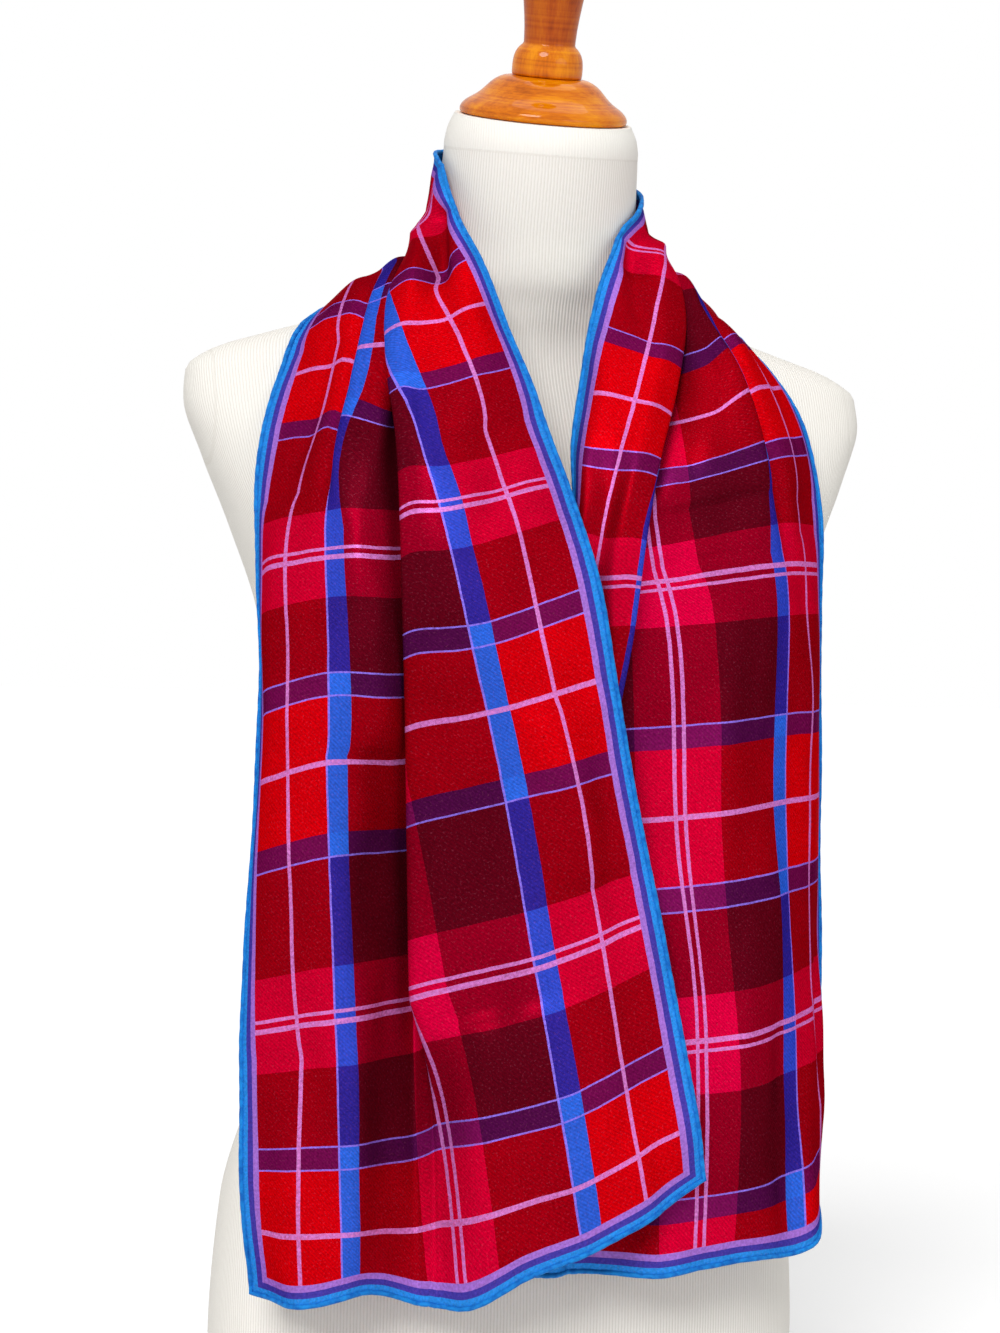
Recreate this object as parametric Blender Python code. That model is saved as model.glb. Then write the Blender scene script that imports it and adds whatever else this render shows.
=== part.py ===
# An oblong silk scarf hung round the neck of a limbless dress form. Metres, +Z up, the form faces -Y,
# and the origin is the middle of the form's flat foot.
import math

import bmesh
import bpy
import numpy as np

# Driving sizes.
clothWidth = 0.3115
clothLength = 1.60
clothWall = 0.0012
seamGap = 0.0003
restGap = 0.0009
seamRest = 0.0005
leftSeam = 0.620
rightSeam = 0.985
crownAcross = 0.0695
foldNose = 0.006
foldTurn = 0.003
openPleat = 0.015
pleatDepth = 0.37
layerStep = 0.0022

# How the drape bows and folds.
bowShallow = 0.35  # share of a span up to which spare length bows it
bowGain = 1.25  # a control point stands this much farther out than the curve it draws
shoulderStart = 0.07
shoulderHeight = 0.63
shoulderFade = 0.03
shoulderLift = 0.8
outwardSquash = 0.75
outwardMiddle = 0.01
foldLean = 1.35
pleatLimit = 0.8
noseShare = 0.15

neckTop = 0.806
neckTiltStart = 0.730
capTilt = math.radians(15.0)
capRadius = 0.0500
finialRadius = 0.0210
finialHeight = 0.0810
torsoSides = 52
turnedSides = 36
slopeStep = 0.0005
farthestPush = 0.02

bustAcross = 0.076
bustHeight = 0.505
bustReach = 0.034
bustSpread = 0.052
bustAbove = 0.075
bustBelow = 0.052
frontFade = 0.04

# Sections of the torso: height, half width, reach to the front, reach to the back, middle, roundness.
torsoSections = [
    (0.000, 0.174, 0.098, 0.116, 0.010, 2.30),
    (0.080, 0.177, 0.100, 0.118, 0.010, 2.30),
    (0.160, 0.172, 0.098, 0.114, 0.010, 2.30),
    (0.220, 0.156, 0.092, 0.100, 0.008, 2.30),
    (0.300, 0.124, 0.086, 0.084, 0.004, 2.25),
    (0.360, 0.127, 0.090, 0.084, 0.002, 2.25),
    (0.440, 0.147, 0.100, 0.096, 0.000, 2.35),
    (0.510, 0.160, 0.108, 0.108, 0.000, 2.50),
    (0.560, 0.178, 0.100, 0.112, 0.000, 2.60),
    (0.600, 0.195, 0.082, 0.104, 0.002, 2.60),
    (0.635, 0.207, 0.064, 0.088, 0.006, 2.40),
    (0.650, 0.206, 0.057, 0.078, 0.008, 2.30),
    (0.662, 0.191, 0.054, 0.071, 0.010, 2.15),
    (0.674, 0.156, 0.055, 0.066, 0.012, 2.00),
    (0.688, 0.112, 0.058, 0.063, 0.012, 2.00),
    (0.704, 0.081, 0.060, 0.060, 0.008, 2.00),
    (0.728, 0.065, 0.058, 0.058, 0.003, 2.00),
    (0.760, 0.059, 0.057, 0.057, -0.004, 2.00),
    (0.784, 0.0580, 0.0570, 0.0570, -0.0085, 2.00),
    (0.797, 0.0562, 0.0552, 0.0552, -0.0108, 2.00),
    (0.806, 0.0522, 0.0512, 0.0512, -0.0120, 2.00),
]

# Paths of the hems, the crowns of the rolls and the foot of the pleat: along the cloth, x, y, z.
outerHem = [
    (0.000, -0.175, -0.095, 0.131),
    (0.133, -0.179, -0.100, 0.248),
    (0.363, -0.175, -0.105, 0.470),
    (0.478, -0.176, -0.078, 0.575),
    (0.535, -0.167, -0.054, 0.620),
    (0.593, -0.148, -0.022, 0.664),
    (0.651, -0.117, 0.027, 0.691),
    (0.708, -0.088, 0.080, 0.664),
    (0.806, 0.000, 0.103, 0.638),
    (0.892, 0.090, 0.080, 0.660),
    (0.949, 0.118, 0.032, 0.686),
    (1.007, 0.124, -0.007, 0.679),
    (1.065, 0.134, -0.043, 0.660),
    (1.122, 0.151, -0.066, 0.622),
    (1.179, 0.160, -0.068, 0.571),
    (1.237, 0.164, -0.060, 0.517),
    (1.352, 0.170, -0.053, 0.406),
    (1.467, 0.176, -0.047, 0.293),
    (1.600, 0.168, -0.046, 0.150),
]
outerCrown = [
    (0.000, -0.127, -0.150, 0.134),
    (0.133, -0.134, -0.152, 0.260),
    (0.363, -0.147, -0.160, 0.486),
    (0.478, -0.144, -0.140, 0.583),
    (0.535, -0.123, -0.113, 0.630),
    (0.593, -0.110, -0.078, 0.674),
    (0.651, -0.097, -0.034, 0.705),
    (0.708, -0.085, 0.036, 0.702),
    (0.806, 0.000, 0.089, 0.697),
    (0.892, 0.086, 0.036, 0.702),
    (0.949, 0.088, -0.026, 0.712),
    (1.007, 0.091, -0.067, 0.690),
    (1.065, 0.097, -0.100, 0.657),
    (1.122, 0.108, -0.119, 0.614),
    (1.179, 0.120, -0.125, 0.570),
    (1.237, 0.127, -0.117, 0.515),
    (1.352, 0.131, -0.109, 0.403),
    (1.467, 0.140, -0.104, 0.284),
    (1.600, 0.152, -0.105, 0.152),
]
pleatFoot = [
    (0.000, -0.083, -0.120, 0.128),
    (0.133, -0.085, -0.109, 0.261),
    (0.248, -0.090, -0.112, 0.375),
    (0.363, -0.104, -0.150, 0.484),
    (0.478, -0.107, -0.137, 0.583),
    (0.535, -0.106, -0.108, 0.627),
    (0.593, -0.099, -0.075, 0.672),
    (0.651, -0.080, -0.033, 0.712),
    (0.708, -0.067, 0.012, 0.726),
    (0.757, -0.048, 0.055, 0.726),
    (0.806, 0.000, 0.072, 0.724),
    (0.855, 0.048, 0.055, 0.724),
    (0.892, 0.067, 0.014, 0.726),
    (0.949, 0.069, -0.036, 0.716),
    (1.007, 0.067, -0.068, 0.681),
    (1.065, 0.054, -0.100, 0.632),
    (1.122, 0.039, -0.130, 0.591),
    (1.179, 0.029, -0.146, 0.549),
    (1.237, 0.025, -0.143, 0.503),
    (1.352, 0.012, -0.130, 0.390),
    (1.467, 0.018, -0.126, 0.272),
    (1.600, 0.014, -0.126, 0.143),
]
innerCrown = [
    (0.000, 0.010, -0.168, 0.163),
    (0.133, -0.015, -0.170, 0.291),
    (0.248, -0.040, -0.172, 0.408),
    (0.363, -0.068, -0.181, 0.512),
    (0.421, -0.080, -0.177, 0.563),
    (0.478, -0.088, -0.158, 0.605),
    (0.535, -0.084, -0.130, 0.650),
    (0.593, -0.081, -0.090, 0.689),
    (0.651, -0.073, -0.049, 0.723),
    (0.708, -0.0645, -0.006, 0.748),
    (0.757, -0.049, 0.045, 0.757),
    (0.806, 0.000, 0.063, 0.760),
    (0.855, 0.048, 0.047, 0.756),
    (0.892, 0.0635, 0.003, 0.744),
    (0.949, 0.053, -0.046, 0.727),
    (1.007, 0.040, -0.080, 0.687),
    (1.065, 0.028, -0.116, 0.648),
    (1.122, 0.014, -0.143, 0.602),
    (1.179, 0.007, -0.149, 0.555),
    (1.237, 0.000, -0.142, 0.503),
    (1.352, -0.016, -0.132, 0.390),
    (1.467, -0.012, -0.128, 0.272),
    (1.600, -0.020, -0.128, 0.142),
]
innerHem = [
    (0.000, 0.077, -0.155, 0.194),
    (0.133, 0.050, -0.151, 0.318),
    (0.248, 0.024, -0.157, 0.424),
    (0.363, -0.002, -0.163, 0.537),
    (0.478, -0.028, -0.136, 0.622),
    (0.535, -0.040, -0.110, 0.664),
    (0.593, -0.050, -0.080, 0.708),
    (0.651, -0.060, -0.047, 0.743),
    (0.708, -0.0590, -0.010, 0.779),
    (0.757, -0.045, 0.034, 0.792),
    (0.806, 0.000, 0.053, 0.795),
    (0.855, 0.045, 0.034, 0.781),
    (0.898, 0.0560, -0.010, 0.765),
    (0.949, 0.038, -0.050, 0.735),
    (1.007, 0.020, -0.074, 0.699),
    (1.065, 0.006, -0.100, 0.653),
    (1.122, -0.008, -0.128, 0.605),
    (1.179, -0.009, -0.137, 0.559),
    (1.237, -0.024, -0.135, 0.506),
    (1.352, -0.045, -0.128, 0.392),
    (1.467, -0.051, -0.126, 0.275),
    (1.600, -0.058, -0.124, 0.139),
]

# The pleat: along the cloth, then across it where the pleat begins, where it ends and where the inner
# crown lies; how far the upper layer stands out over the foot, and how much higher it comes back.
pleat = [
    (0.000, 0.120, 0.138, 0.242, 0.016, 0.000),
    (0.133, 0.127, 0.158, 0.242, 0.020, 0.004),
    (0.248, 0.127, 0.177, 0.242, 0.021, 0.012),
    (0.363, 0.127, 0.199, 0.242, 0.017, 0.020),
    (0.478, 0.127, 0.221, 0.245, 0.016, 0.018),
    (0.535, 0.118, 0.231, 0.258, 0.017, 0.014),
    (0.593, 0.102, 0.241, 0.271, 0.015, 0.009),
    (0.651, 0.095, 0.256, 0.283, 0.009, 0.004),
    (0.708, 0.098, 0.250, 0.2795, 0.006, 0.002),
    (0.806, 0.094, 0.240, 0.2765, 0.008, 0.000),
    (0.892, 0.098, 0.255, 0.285, 0.006, 0.000),
    (0.949, 0.102, 0.260, 0.290, 0.008, 0.001),
    (1.007, 0.114, 0.251, 0.286, 0.013, 0.001),
    (1.065, 0.136, 0.248, 0.280, 0.017, 0.005),
    (1.122, 0.150, 0.246, 0.277, 0.018, 0.006),
    (1.179, 0.1635, 0.242, 0.272, 0.016, 0.004),
    (1.237, 0.180, 0.242, 0.272, 0.013, 0.002),
    (1.352, 0.205, 0.240, 0.272, 0.014, 0.000),
    (1.467, 0.218, 0.236, 0.272, 0.010, 0.000),
    (1.600, 0.222, 0.234, 0.272, 0.011, 0.000),
]

# The cloth hidden in the pleat: share of its length, how deep it reaches, how far it stands out.
hiddenLayers = [
    (0.25, 0.50, 0.05),
    (0.46, 0.95, 0.10),
    (0.50, 1.00, 0.40),
    (0.54, 0.95, 0.60),
    (0.75, 0.50, 0.65),
]

# Layers of cloth under each place across the section where it presses on the form.
layersUnder = [
    (0.0, 0.0),
    (6.6, 0.0),
    (7.4, 1.0),
    (10.2, 1.0),
    (11.4, 2.0),
    (14.0, 2.0),
    (15.2, 1.4),
    (16.0, 0.3),
]


def smoothTable(rows, where):
    """Reads a table at one place or many, by cubics with the slope of the neighbouring rows."""
    table = np.array(rows)
    key = table[:, 0]
    value = table[:, 1:]
    step = np.diff(key)[:, None]
    rise = np.diff(value, axis=0) / step
    slope = np.empty_like(value)
    slope[0] = rise[0]
    slope[-1] = rise[-1]
    slope[1:-1] = (rise[:-1] * step[1:] + rise[1:] * step[:-1]) / (step[:-1] + step[1:])
    where = np.atleast_1d(where)
    index = np.clip(np.searchsorted(key, where) - 1, 0, len(key) - 2)
    width = step[index]
    t = np.clip((where - key[index])[:, None] / width, 0.0, 1.0)
    start = value[index] * (1 + 2 * t) * (1 - t) ** 2 + slope[index] * width * t * (1 - t) ** 2
    return start + value[index + 1] * t * t * (3 - 2 * t) - slope[index + 1] * width * t * t * (1 - t)


def steadyTable(rows, where):
    """Reads a table by cubics that never pass the rows' own values."""
    table = np.array(rows)
    key = table[:, 0]
    value = table[:, 1:]
    step = np.diff(key)[:, None]
    rise = np.diff(value, axis=0) / step
    slope = np.zeros_like(value)
    same = rise[:-1] * rise[1:] > 0
    near = 2 * step[1:] + step[:-1]
    far = step[1:] + 2 * step[:-1]
    with np.errstate(divide="ignore", invalid="ignore"):
        mean = (near + far) / (near / rise[:-1] + far / rise[1:])
    slope[1:-1] = np.where(same, mean, 0.0)
    slope[0] = rise[0]
    slope[-1] = rise[-1]
    where = np.atleast_1d(where)
    index = np.clip(np.searchsorted(key, where) - 1, 0, len(key) - 2)
    width = step[index]
    t = np.clip((where - key[index])[:, None] / width, 0.0, 1.0)
    start = value[index] * (1 + 2 * t) * (1 - t) ** 2 + slope[index] * width * t * (1 - t) ** 2
    return start + value[index + 1] * t * t * (3 - 2 * t) - slope[index + 1] * width * t * t * (1 - t)


def bustSwell(x, z):
    spread = np.where(z > bustHeight, bustAbove, bustBelow)
    lift = np.exp(-(((z - bustHeight) / spread) ** 2))
    sides = sum(np.exp(-(((x - side * bustAcross) / bustSpread) ** 2)) for side in (-1, 1))
    return bustReach * lift * sides


def neckSlope(z):
    """How steeply the torso's sections slant: level up to the neck, then towards the cap's tilt."""
    return math.tan(capTilt) * np.clip((z - neckTiltStart) / (neckTop - neckTiltStart), 0.0, 1.0)


def torsoReach(angle, z):
    """The torso's reach from its middle line in a direction, without the bust."""
    halfWidth, front, back, middle, roundness = steadyTable(torsoSections, z).T
    c = np.cos(angle)
    s = np.sin(angle)
    deep = np.where(s < 0, front, back)
    reach = (np.abs(c / halfWidth) ** roundness + np.abs(s / deep) ** roundness) ** (-1 / roundness)
    return reach, middle


def outsideTorso(points):
    """How far points lie outside the torso, measured level, as negative values inside it."""
    x, y, z = points.T
    level = z
    for _ in range(3):
        middle = steadyTable(torsoSections, np.clip(level, 0.0, neckTop))[:, 3]
        level = z - (y - middle) * neckSlope(level)
    z = np.clip(level, 0.0, neckTop)
    middle = steadyTable(torsoSections, z)[:, 3]
    y = y + bustSwell(x, z) * np.clip((middle - y) / frontFade, 0.0, 1.0)
    angle = np.arctan2(y - middle, x)
    reach, middle = torsoReach(angle, z)
    return np.hypot(x, y - middle) - reach


def moveClear(points, gap):
    """Moves points out to a gap from the torso where they are nearer than that."""
    moved = points.copy()
    for _ in range(4):
        level = outsideTorso(moved)
        nearby = [outsideTorso(moved + slopeStep * axis) for axis in np.eye(3)]
        slope = (np.stack(nearby, axis=1) - level[:, None]) / slopeStep
        steep = np.linalg.norm(slope, axis=1)
        short = np.clip(gap - level / steep, 0.0, farthestPush)
        moved += slope / steep[:, None] * short[:, None]
    return moved


def unit(vector):
    return vector / np.linalg.norm(vector)


def outward(point):
    """Level direction away from the torso's middle."""
    return unit(np.array([outwardSquash * point[0], point[1] - outwardMiddle, 0.0]))


def bow(first, last, cloth):
    """The middle of a stretch of cloth that is longer than the gap it spans."""
    span = np.linalg.norm(last - first)
    slack = max(cloth - span, 0.0)
    shallow = min(slack, bowShallow * span)
    height = math.sqrt(3 * span * shallow / 8) + 0.5 * (slack - shallow)
    along = unit(last - first)
    middle = (first + last) / 2
    onShoulder = min(max((abs(middle[0]) - shoulderStart) / shoulderFade, 0.0), 1.0)
    onShoulder *= min(max((middle[2] - shoulderHeight) / shoulderFade, 0.0), 1.0)
    out = unit(outward(middle) + onShoulder * np.array([0.0, 0.0, shoulderLift]))
    return middle + bowGain * height * unit(out - np.dot(out, along) * along)


def alongPanel(fold, inner, edge, distance):
    """A place on the inner panel, counted from the pleat's fold."""
    first = np.linalg.norm(inner - fold)
    if distance < first:
        return fold + distance * unit(inner - fold)
    return inner + (distance - first) * unit(edge - inner)


def crossSection(along):
    """Control points of the cloth's section at a distance along it: x, y, z, distance across."""
    hem, crown, foot, inner, edge = (
        smoothTable(path, along)[0] for path in (outerHem, outerCrown, pleatFoot, innerCrown, innerHem)
    )
    begin, end, innerAcross, lift, rise = steadyTable(pleat, along)[0]
    hidden = end - begin
    folded = min(max((hidden - lift) / openPleat, 0.0), 1.0)
    out = outward(foot)
    side = unit(unit(inner - foot) + unit(edge - foot))
    fold = foot + lift * unit(folded * out + (foldLean - folded) * side) + np.array([0.0, 0.0, rise])
    step = fold - foot
    panel = np.linalg.norm(inner - fold) + np.linalg.norm(edge - inner)
    depth = min(pleatDepth * max(hidden - lift, 0.0), pleatLimit * panel)
    nose = min(foldNose, noseShare * hidden)
    turn = folded * foldTurn * out
    under = []
    for share, reach, stand in hiddenLayers:
        rest = 1 - folded * stand - (1 - folded) * share
        under.append((alongPanel(fold, inner, edge, reach * depth) - rest * step, begin + share * hidden))
    controls = [
        (hem, 0.0),
        (bow(hem, crown, crownAcross), crownAcross / 2),
        (crown, crownAcross),
        (bow(crown, foot, begin - crownAcross), (crownAcross + begin) / 2),
        (foot, begin),
        *under,
        (fold - 0.2 * (1 - folded) * step - 0.4 * folded * nose * side - turn, end - nose),
        (fold - 0.6 * folded * nose * side, end),
        (fold + nose * side + 0.5 * turn, end + nose),
        (bow(fold, inner, innerAcross - end), (end + innerAcross) / 2),
        (inner, innerAcross),
        (bow(inner, edge, clothWidth - innerAcross), (innerAcross + clothWidth) / 2),
        (edge, clothWidth),
    ]
    return np.array([[*place, across] for place, across in controls])


def curveThrough(controls, where):
    """Points of a uniform cubic B-spline, counted in control points from the first."""
    ends = np.vstack([2 * controls[0] - controls[1], controls, 2 * controls[-1] - controls[-2]])
    index = np.clip(np.floor(where).astype(int), 0, len(controls) - 2)
    t = (where - index)[:, None]
    first = (1 - t) ** 3 / 6 * ends[index]
    second = (3 * t**3 - 6 * t**2 + 4) / 6 * ends[index + 1]
    third = (-3 * t**3 + 3 * t**2 + 3 * t + 1) / 6 * ends[index + 2]
    return first + second + third + t**3 / 6 * ends[index + 3]


def pressedGap(where):
    """How far the cloth's middle stays from the form at each place across, over the layers under it."""
    place, layers = np.array(layersUnder).T
    return clothWall / 2 + restGap + layerStep * np.interp(where, place, layers)


def clearSheet(sheet, where):
    gap = np.tile(pressedGap(where), len(sheet))
    return moveClear(sheet.reshape(-1, 3), gap).reshape(sheet.shape)


def clothSheet(alongs, where):
    """The cloth's middle surface: a row for each distance along it."""
    return clearSheet(np.array([curveThrough(crossSection(along), where)[:, :3] for along in alongs]), where)


def clearFacets(sheet, where):
    """Moves a sheet's points out until the flat facets between them clear the torso as well."""
    between = np.interp(np.arange(2 * len(where) - 1) / 2, np.arange(len(where)), where)
    for _ in range(3):
        fine = np.empty((2 * sheet.shape[0] - 1, 2 * sheet.shape[1] - 1, 3))
        fine[::2, ::2] = sheet
        fine[1::2, ::2] = (sheet[:-1] + sheet[1:]) / 2
        fine[:, 1::2] = (fine[:, :-2:2] + fine[:, 2::2]) / 2
        push = clearSheet(fine, between) - fine
        padded = np.pad(push, ((1, 1), (1, 1), (0, 0)))
        rows, columns = push.shape[:2]
        shifts = [(i, j) for i in range(3) for j in range(3)]
        around = np.stack([padded[i : i + rows : 2, j : j + columns : 2] for i, j in shifts])
        largest = np.linalg.norm(around, axis=3).argmax(axis=0)
        sheet = sheet + np.take_along_axis(around, largest[None, :, :, None], axis=0)[0]
    return sheet


def clothNormals(alongs, where):
    """Unit normals of the middle surface, and its unit directions along the cloth."""
    step = 0.002
    along = clothSheet(alongs + step, where) - clothSheet(alongs - step, where)
    across = clothSheet(alongs, where + 0.05) - clothSheet(alongs, where - 0.05)
    normals = np.cross(across, along)
    forward = along / np.linalg.norm(along, axis=2)[:, :, None]
    return normals / np.linalg.norm(normals, axis=2)[:, :, None], forward


def paint(name, colour, roughness, metallic=0.0):
    material = bpy.data.materials.new(name)
    material.use_nodes = True
    shader = material.node_tree.nodes["Principled BSDF"]
    shader.inputs["Base Color"].default_value = (*colour, 1.0)
    shader.inputs["Roughness"].default_value = roughness
    shader.inputs["Metallic"].default_value = metallic
    return material


def addMesh(name, vertices, faces, material):
    mesh = bpy.data.meshes.new(name)
    mesh.from_pydata([tuple(v) for v in vertices], [], faces)
    shape = bmesh.new()
    shape.from_mesh(mesh)
    bmesh.ops.recalc_face_normals(shape, faces=shape.faces)
    shape.to_mesh(mesh)
    shape.free()
    mesh.materials.append(material)
    piece = bpy.data.objects.new(name, mesh)
    bpy.context.collection.objects.link(piece)
    return piece


def addCloth(name, start, end, rows, material):
    """A wall of cloth between two places along the scarf."""
    where = np.array(
        [0, 0.7, 1.4, 2.1, 2.8, 3.5, 4, 4.6, 5.4, 6.2, 6.7, 7.2, 7.8, 8.8, 9.6, 10.2, 10.7, 11.2, 11.8, 12.6]
        + [13.4, 14.2, 15.1, 16]
    )
    alongs = np.linspace(start, end, rows)
    sheet = clearFacets(clothSheet(alongs, where), where)
    normals, forward = clothNormals(alongs, where)
    for row, place, side in ((0, start, 1), (-1, end, -1)):
        if 0 < place < clothLength:
            seam = moveClear(clothSheet([place], where)[0], pressedGap(where) + seamRest)
            sheet[row] = seam + side * seamGap / 2 * forward[row]
    shift = normals * clothWall / 2
    upper = (sheet + shift).reshape(-1, 3)
    lower = (sheet - shift).reshape(-1, 3)
    columns = len(where)
    count = rows * columns
    faces = []
    for row in range(rows - 1):
        for column in range(columns - 1):
            a = row * columns + column
            b = a + 1
            c = b + columns
            d = a + columns
            faces.append((a, b, c, d))
            faces.append((count + a, count + d, count + c, count + b))
    for row in (0, rows - 1):  # both pieces of a seam split its faces the same way
        for column in range(columns - 1):
            a = row * columns + column
            faces.append((a, count + a, a + 1))
            faces.append((count + a, count + a + 1, a + 1))
    for column in (0, columns - 1):
        for row in range(rows - 1):
            a = row * columns + column
            faces.append((a, count + a, count + a + columns, a + columns))
    return addMesh(name, np.vstack([upper, lower]), faces, material)


def addTorso(material):
    """The dress form's torso and neck as one closed body with a flat foot."""
    around = torsoSides
    heights = np.concatenate(
        [
            np.linspace(0.0, 0.58, 22),
            np.linspace(0.592, 0.652, 8),
            np.linspace(0.657, 0.762, 29),
            np.linspace(0.772, neckTop - 0.004, 4),
            [neckTop - 0.002, neckTop],
        ]
    )
    angle = np.linspace(0, 2 * math.pi, around, endpoint=False)
    vertices = []
    for height in heights:
        z = np.full(around, height)
        reach, middle = torsoReach(angle, z)
        x = reach * np.cos(angle)
        y = middle + reach * np.sin(angle)
        front = np.clip((middle - y) / frontFade, 0.0, 1.0)
        y = y - bustSwell(x, z) * front
        vertices += list(zip(x, y, z + (y - middle) * neckSlope(z)))
    faces = [tuple(range(around))]
    for level in range(len(heights) - 1):
        for step in range(around):
            a = level * around + step
            b = level * around + (step + 1) % around
            faces.append((a, b, b + around, a + around))
    top = (len(heights) - 1) * around
    faces.append(tuple(top + step for step in range(around)))
    return addMesh("dress_form", vertices, faces, material)


def addTurned(name, profile, offset, material):
    """A piece turned on the lathe, standing on the neck's slanting top. Profile: radius, height."""
    around = turnedSides
    sinTilt = math.sin(capTilt)
    cosTilt = math.cos(capTilt)
    middle = steadyTable(torsoSections, neckTop)[0][3]
    vertices = []
    for radius, height in profile:
        level = height + offset
        for step in range(around):
            angle = 2 * math.pi * step / around
            x = radius * math.cos(angle)
            y = radius * math.sin(angle)
            place = (x, middle + y * cosTilt - level * sinTilt, neckTop + y * sinTilt + level * cosTilt)
            vertices.append(place)
    faces = [tuple(range(around))]
    for ring in range(len(profile) - 1):
        for step in range(around):
            a = ring * around + step
            b = ring * around + (step + 1) % around
            faces.append((a, b, b + around, a + around))
    top = (len(profile) - 1) * around
    faces.append(tuple(top + step for step in range(around)))
    return addMesh(name, vertices, faces, material)


def build():
    for old in list(bpy.data.objects):
        bpy.data.objects.remove(old, do_unlink=True)
    silk = [
        paint("silk_left", (0.62, 0.01, 0.05), 0.35),
        paint("silk_neck", (0.30, 0.01, 0.04), 0.35),
        paint("silk_right", (0.45, 0.02, 0.10), 0.35),
    ]
    addTorso(paint("jersey", (0.86, 0.84, 0.80), 0.9))
    addCloth("scarf_left_fall", 0.0, leftSeam, 27, silk[0])
    addCloth("scarf_neck_loop", leftSeam, rightSeam, 32, silk[1])
    addCloth("scarf_right_fall", rightSeam, clothLength, 27, silk[2])
    saucer = [
        (0.965 * capRadius, 0.0),
        (1.000 * capRadius, 0.0014),
        (1.000 * capRadius, 0.0030),
        (0.970 * capRadius, 0.0060),
        (0.900 * capRadius, 0.0090),
        (0.810 * capRadius, 0.0118),
        (0.740 * capRadius, 0.0150),
        (0.660 * capRadius, 0.0192),
        (0.560 * capRadius, 0.0228),
        (0.450 * capRadius, 0.0245),
    ]
    addTurned("neck_cap", saucer, seamGap, paint("varnished_cap", (0.55, 0.20, 0.03), 0.25))
    stem = [
        (0.980 * finialRadius, 0.0),
        (1.000 * finialRadius, 0.0015),
        (1.000 * finialRadius, 0.0060),
        (0.980 * finialRadius, 0.0100),
        (0.930 * finialRadius, 0.0135),
        (0.840 * finialRadius, 0.0165),
        (0.745 * finialRadius, 0.0182),
        (0.730 * finialRadius, 0.0196),
        (0.750 * finialRadius, 0.0280),
        (0.830 * finialRadius, 0.0420),
        (0.930 * finialRadius, 0.0570),
        (0.950 * finialRadius, 0.0650),
        (0.860 * finialRadius, 0.0730),
        (0.560 * finialRadius, 0.0788),
        (0.140 * finialRadius, finialHeight),
    ]
    stemSeat = saucer[-1][1] + 2 * seamGap
    addTurned("finial", stem, stemSeat, paint("varnished_finial", (0.58, 0.22, 0.03), 0.25))


build()
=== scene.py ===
# Looks for an oblong silk scarf hung round the neck of a limbless dress form.
import math

import bpy
import numpy as np
from mathutils import Matrix, Vector


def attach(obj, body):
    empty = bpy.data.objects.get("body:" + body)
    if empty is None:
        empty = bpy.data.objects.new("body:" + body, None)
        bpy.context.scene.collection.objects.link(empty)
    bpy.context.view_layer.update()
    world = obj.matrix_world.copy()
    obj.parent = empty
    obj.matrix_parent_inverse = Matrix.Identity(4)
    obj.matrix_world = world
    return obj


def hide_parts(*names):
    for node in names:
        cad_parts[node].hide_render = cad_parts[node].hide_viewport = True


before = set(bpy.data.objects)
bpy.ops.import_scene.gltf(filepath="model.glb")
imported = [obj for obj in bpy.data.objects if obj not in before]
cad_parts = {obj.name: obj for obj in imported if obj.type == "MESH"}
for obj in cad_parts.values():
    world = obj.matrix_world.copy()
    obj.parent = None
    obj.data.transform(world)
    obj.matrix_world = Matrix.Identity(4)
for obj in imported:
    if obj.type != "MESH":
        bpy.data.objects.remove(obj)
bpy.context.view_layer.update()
print("frame loaded:", ", ".join(sorted(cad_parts)))

# The silk panel, metres: its cut, its wall, and how its layers keep clear of the form and each other.
scarf = {
    "width": 0.3115,
    "length": 1.60,
    "wall": 0.0006,
    "rest": 0.0012,
    "layerStep": 0.0022,
    "crownAcross": 0.0695,
    "foldNose": 0.006,
    "foldTurn": 0.003,
    "openPleat": 0.015,
    "pleatDepth": 0.37,
    "rows": 401,
    "columns": 111,
    "evenShare": 0.55,  # how far the columns are even across the cloth instead of along the folds
    "spans": 16.0,  # a section has 17 control points
    "samples": 641,
    "pleatMiddle": 8.3,  # the pleat's layers, counted in the section's control points
    "pleatHalf": 3.9,
    "pleatFade": 1.1,
}

# How slack cloth bows out between its paths: the shallow part's share of the span, fullness, and its lift
# over the shoulders, metres.
slackCloth = {
    "shallow": 0.35,
    "deepRate": 0.5,
    "fullness": 1.25,
    "shoulderAcross": 0.07,
    "shoulderHeight": 0.63,
    "shoulderFade": 0.03,
    "shoulderLift": 0.8,
}

# The pleat's fold: shares of its lift, of its panel and of the nose that rounds it.
foldShape = {
    "upright": 1.35,
    "deepest": 0.8,
    "noseShare": 0.15,
    "runIn": 0.2,
    "before": 0.4,
    "at": 0.6,
    "after": 0.5,
}

# The hand-rolled hem round all four edges, metres.
hem = {
    "radius": 0.0015,
    "unevenness": 0.22,
    "pinchPitch": 0.0055,
    "pinchDepth": 0.14,
    "pinchSharpness": 8.0,
    "slubScale": 90.0,
    "sides": 8,
    "inset": 0.0008,
    "clear": 0.0003,
    "pressShare": 0.8,
    "pressReach": 0.004,
    "colour": "#1F86D6",
    "shade": "#1560B4",
}

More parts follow.
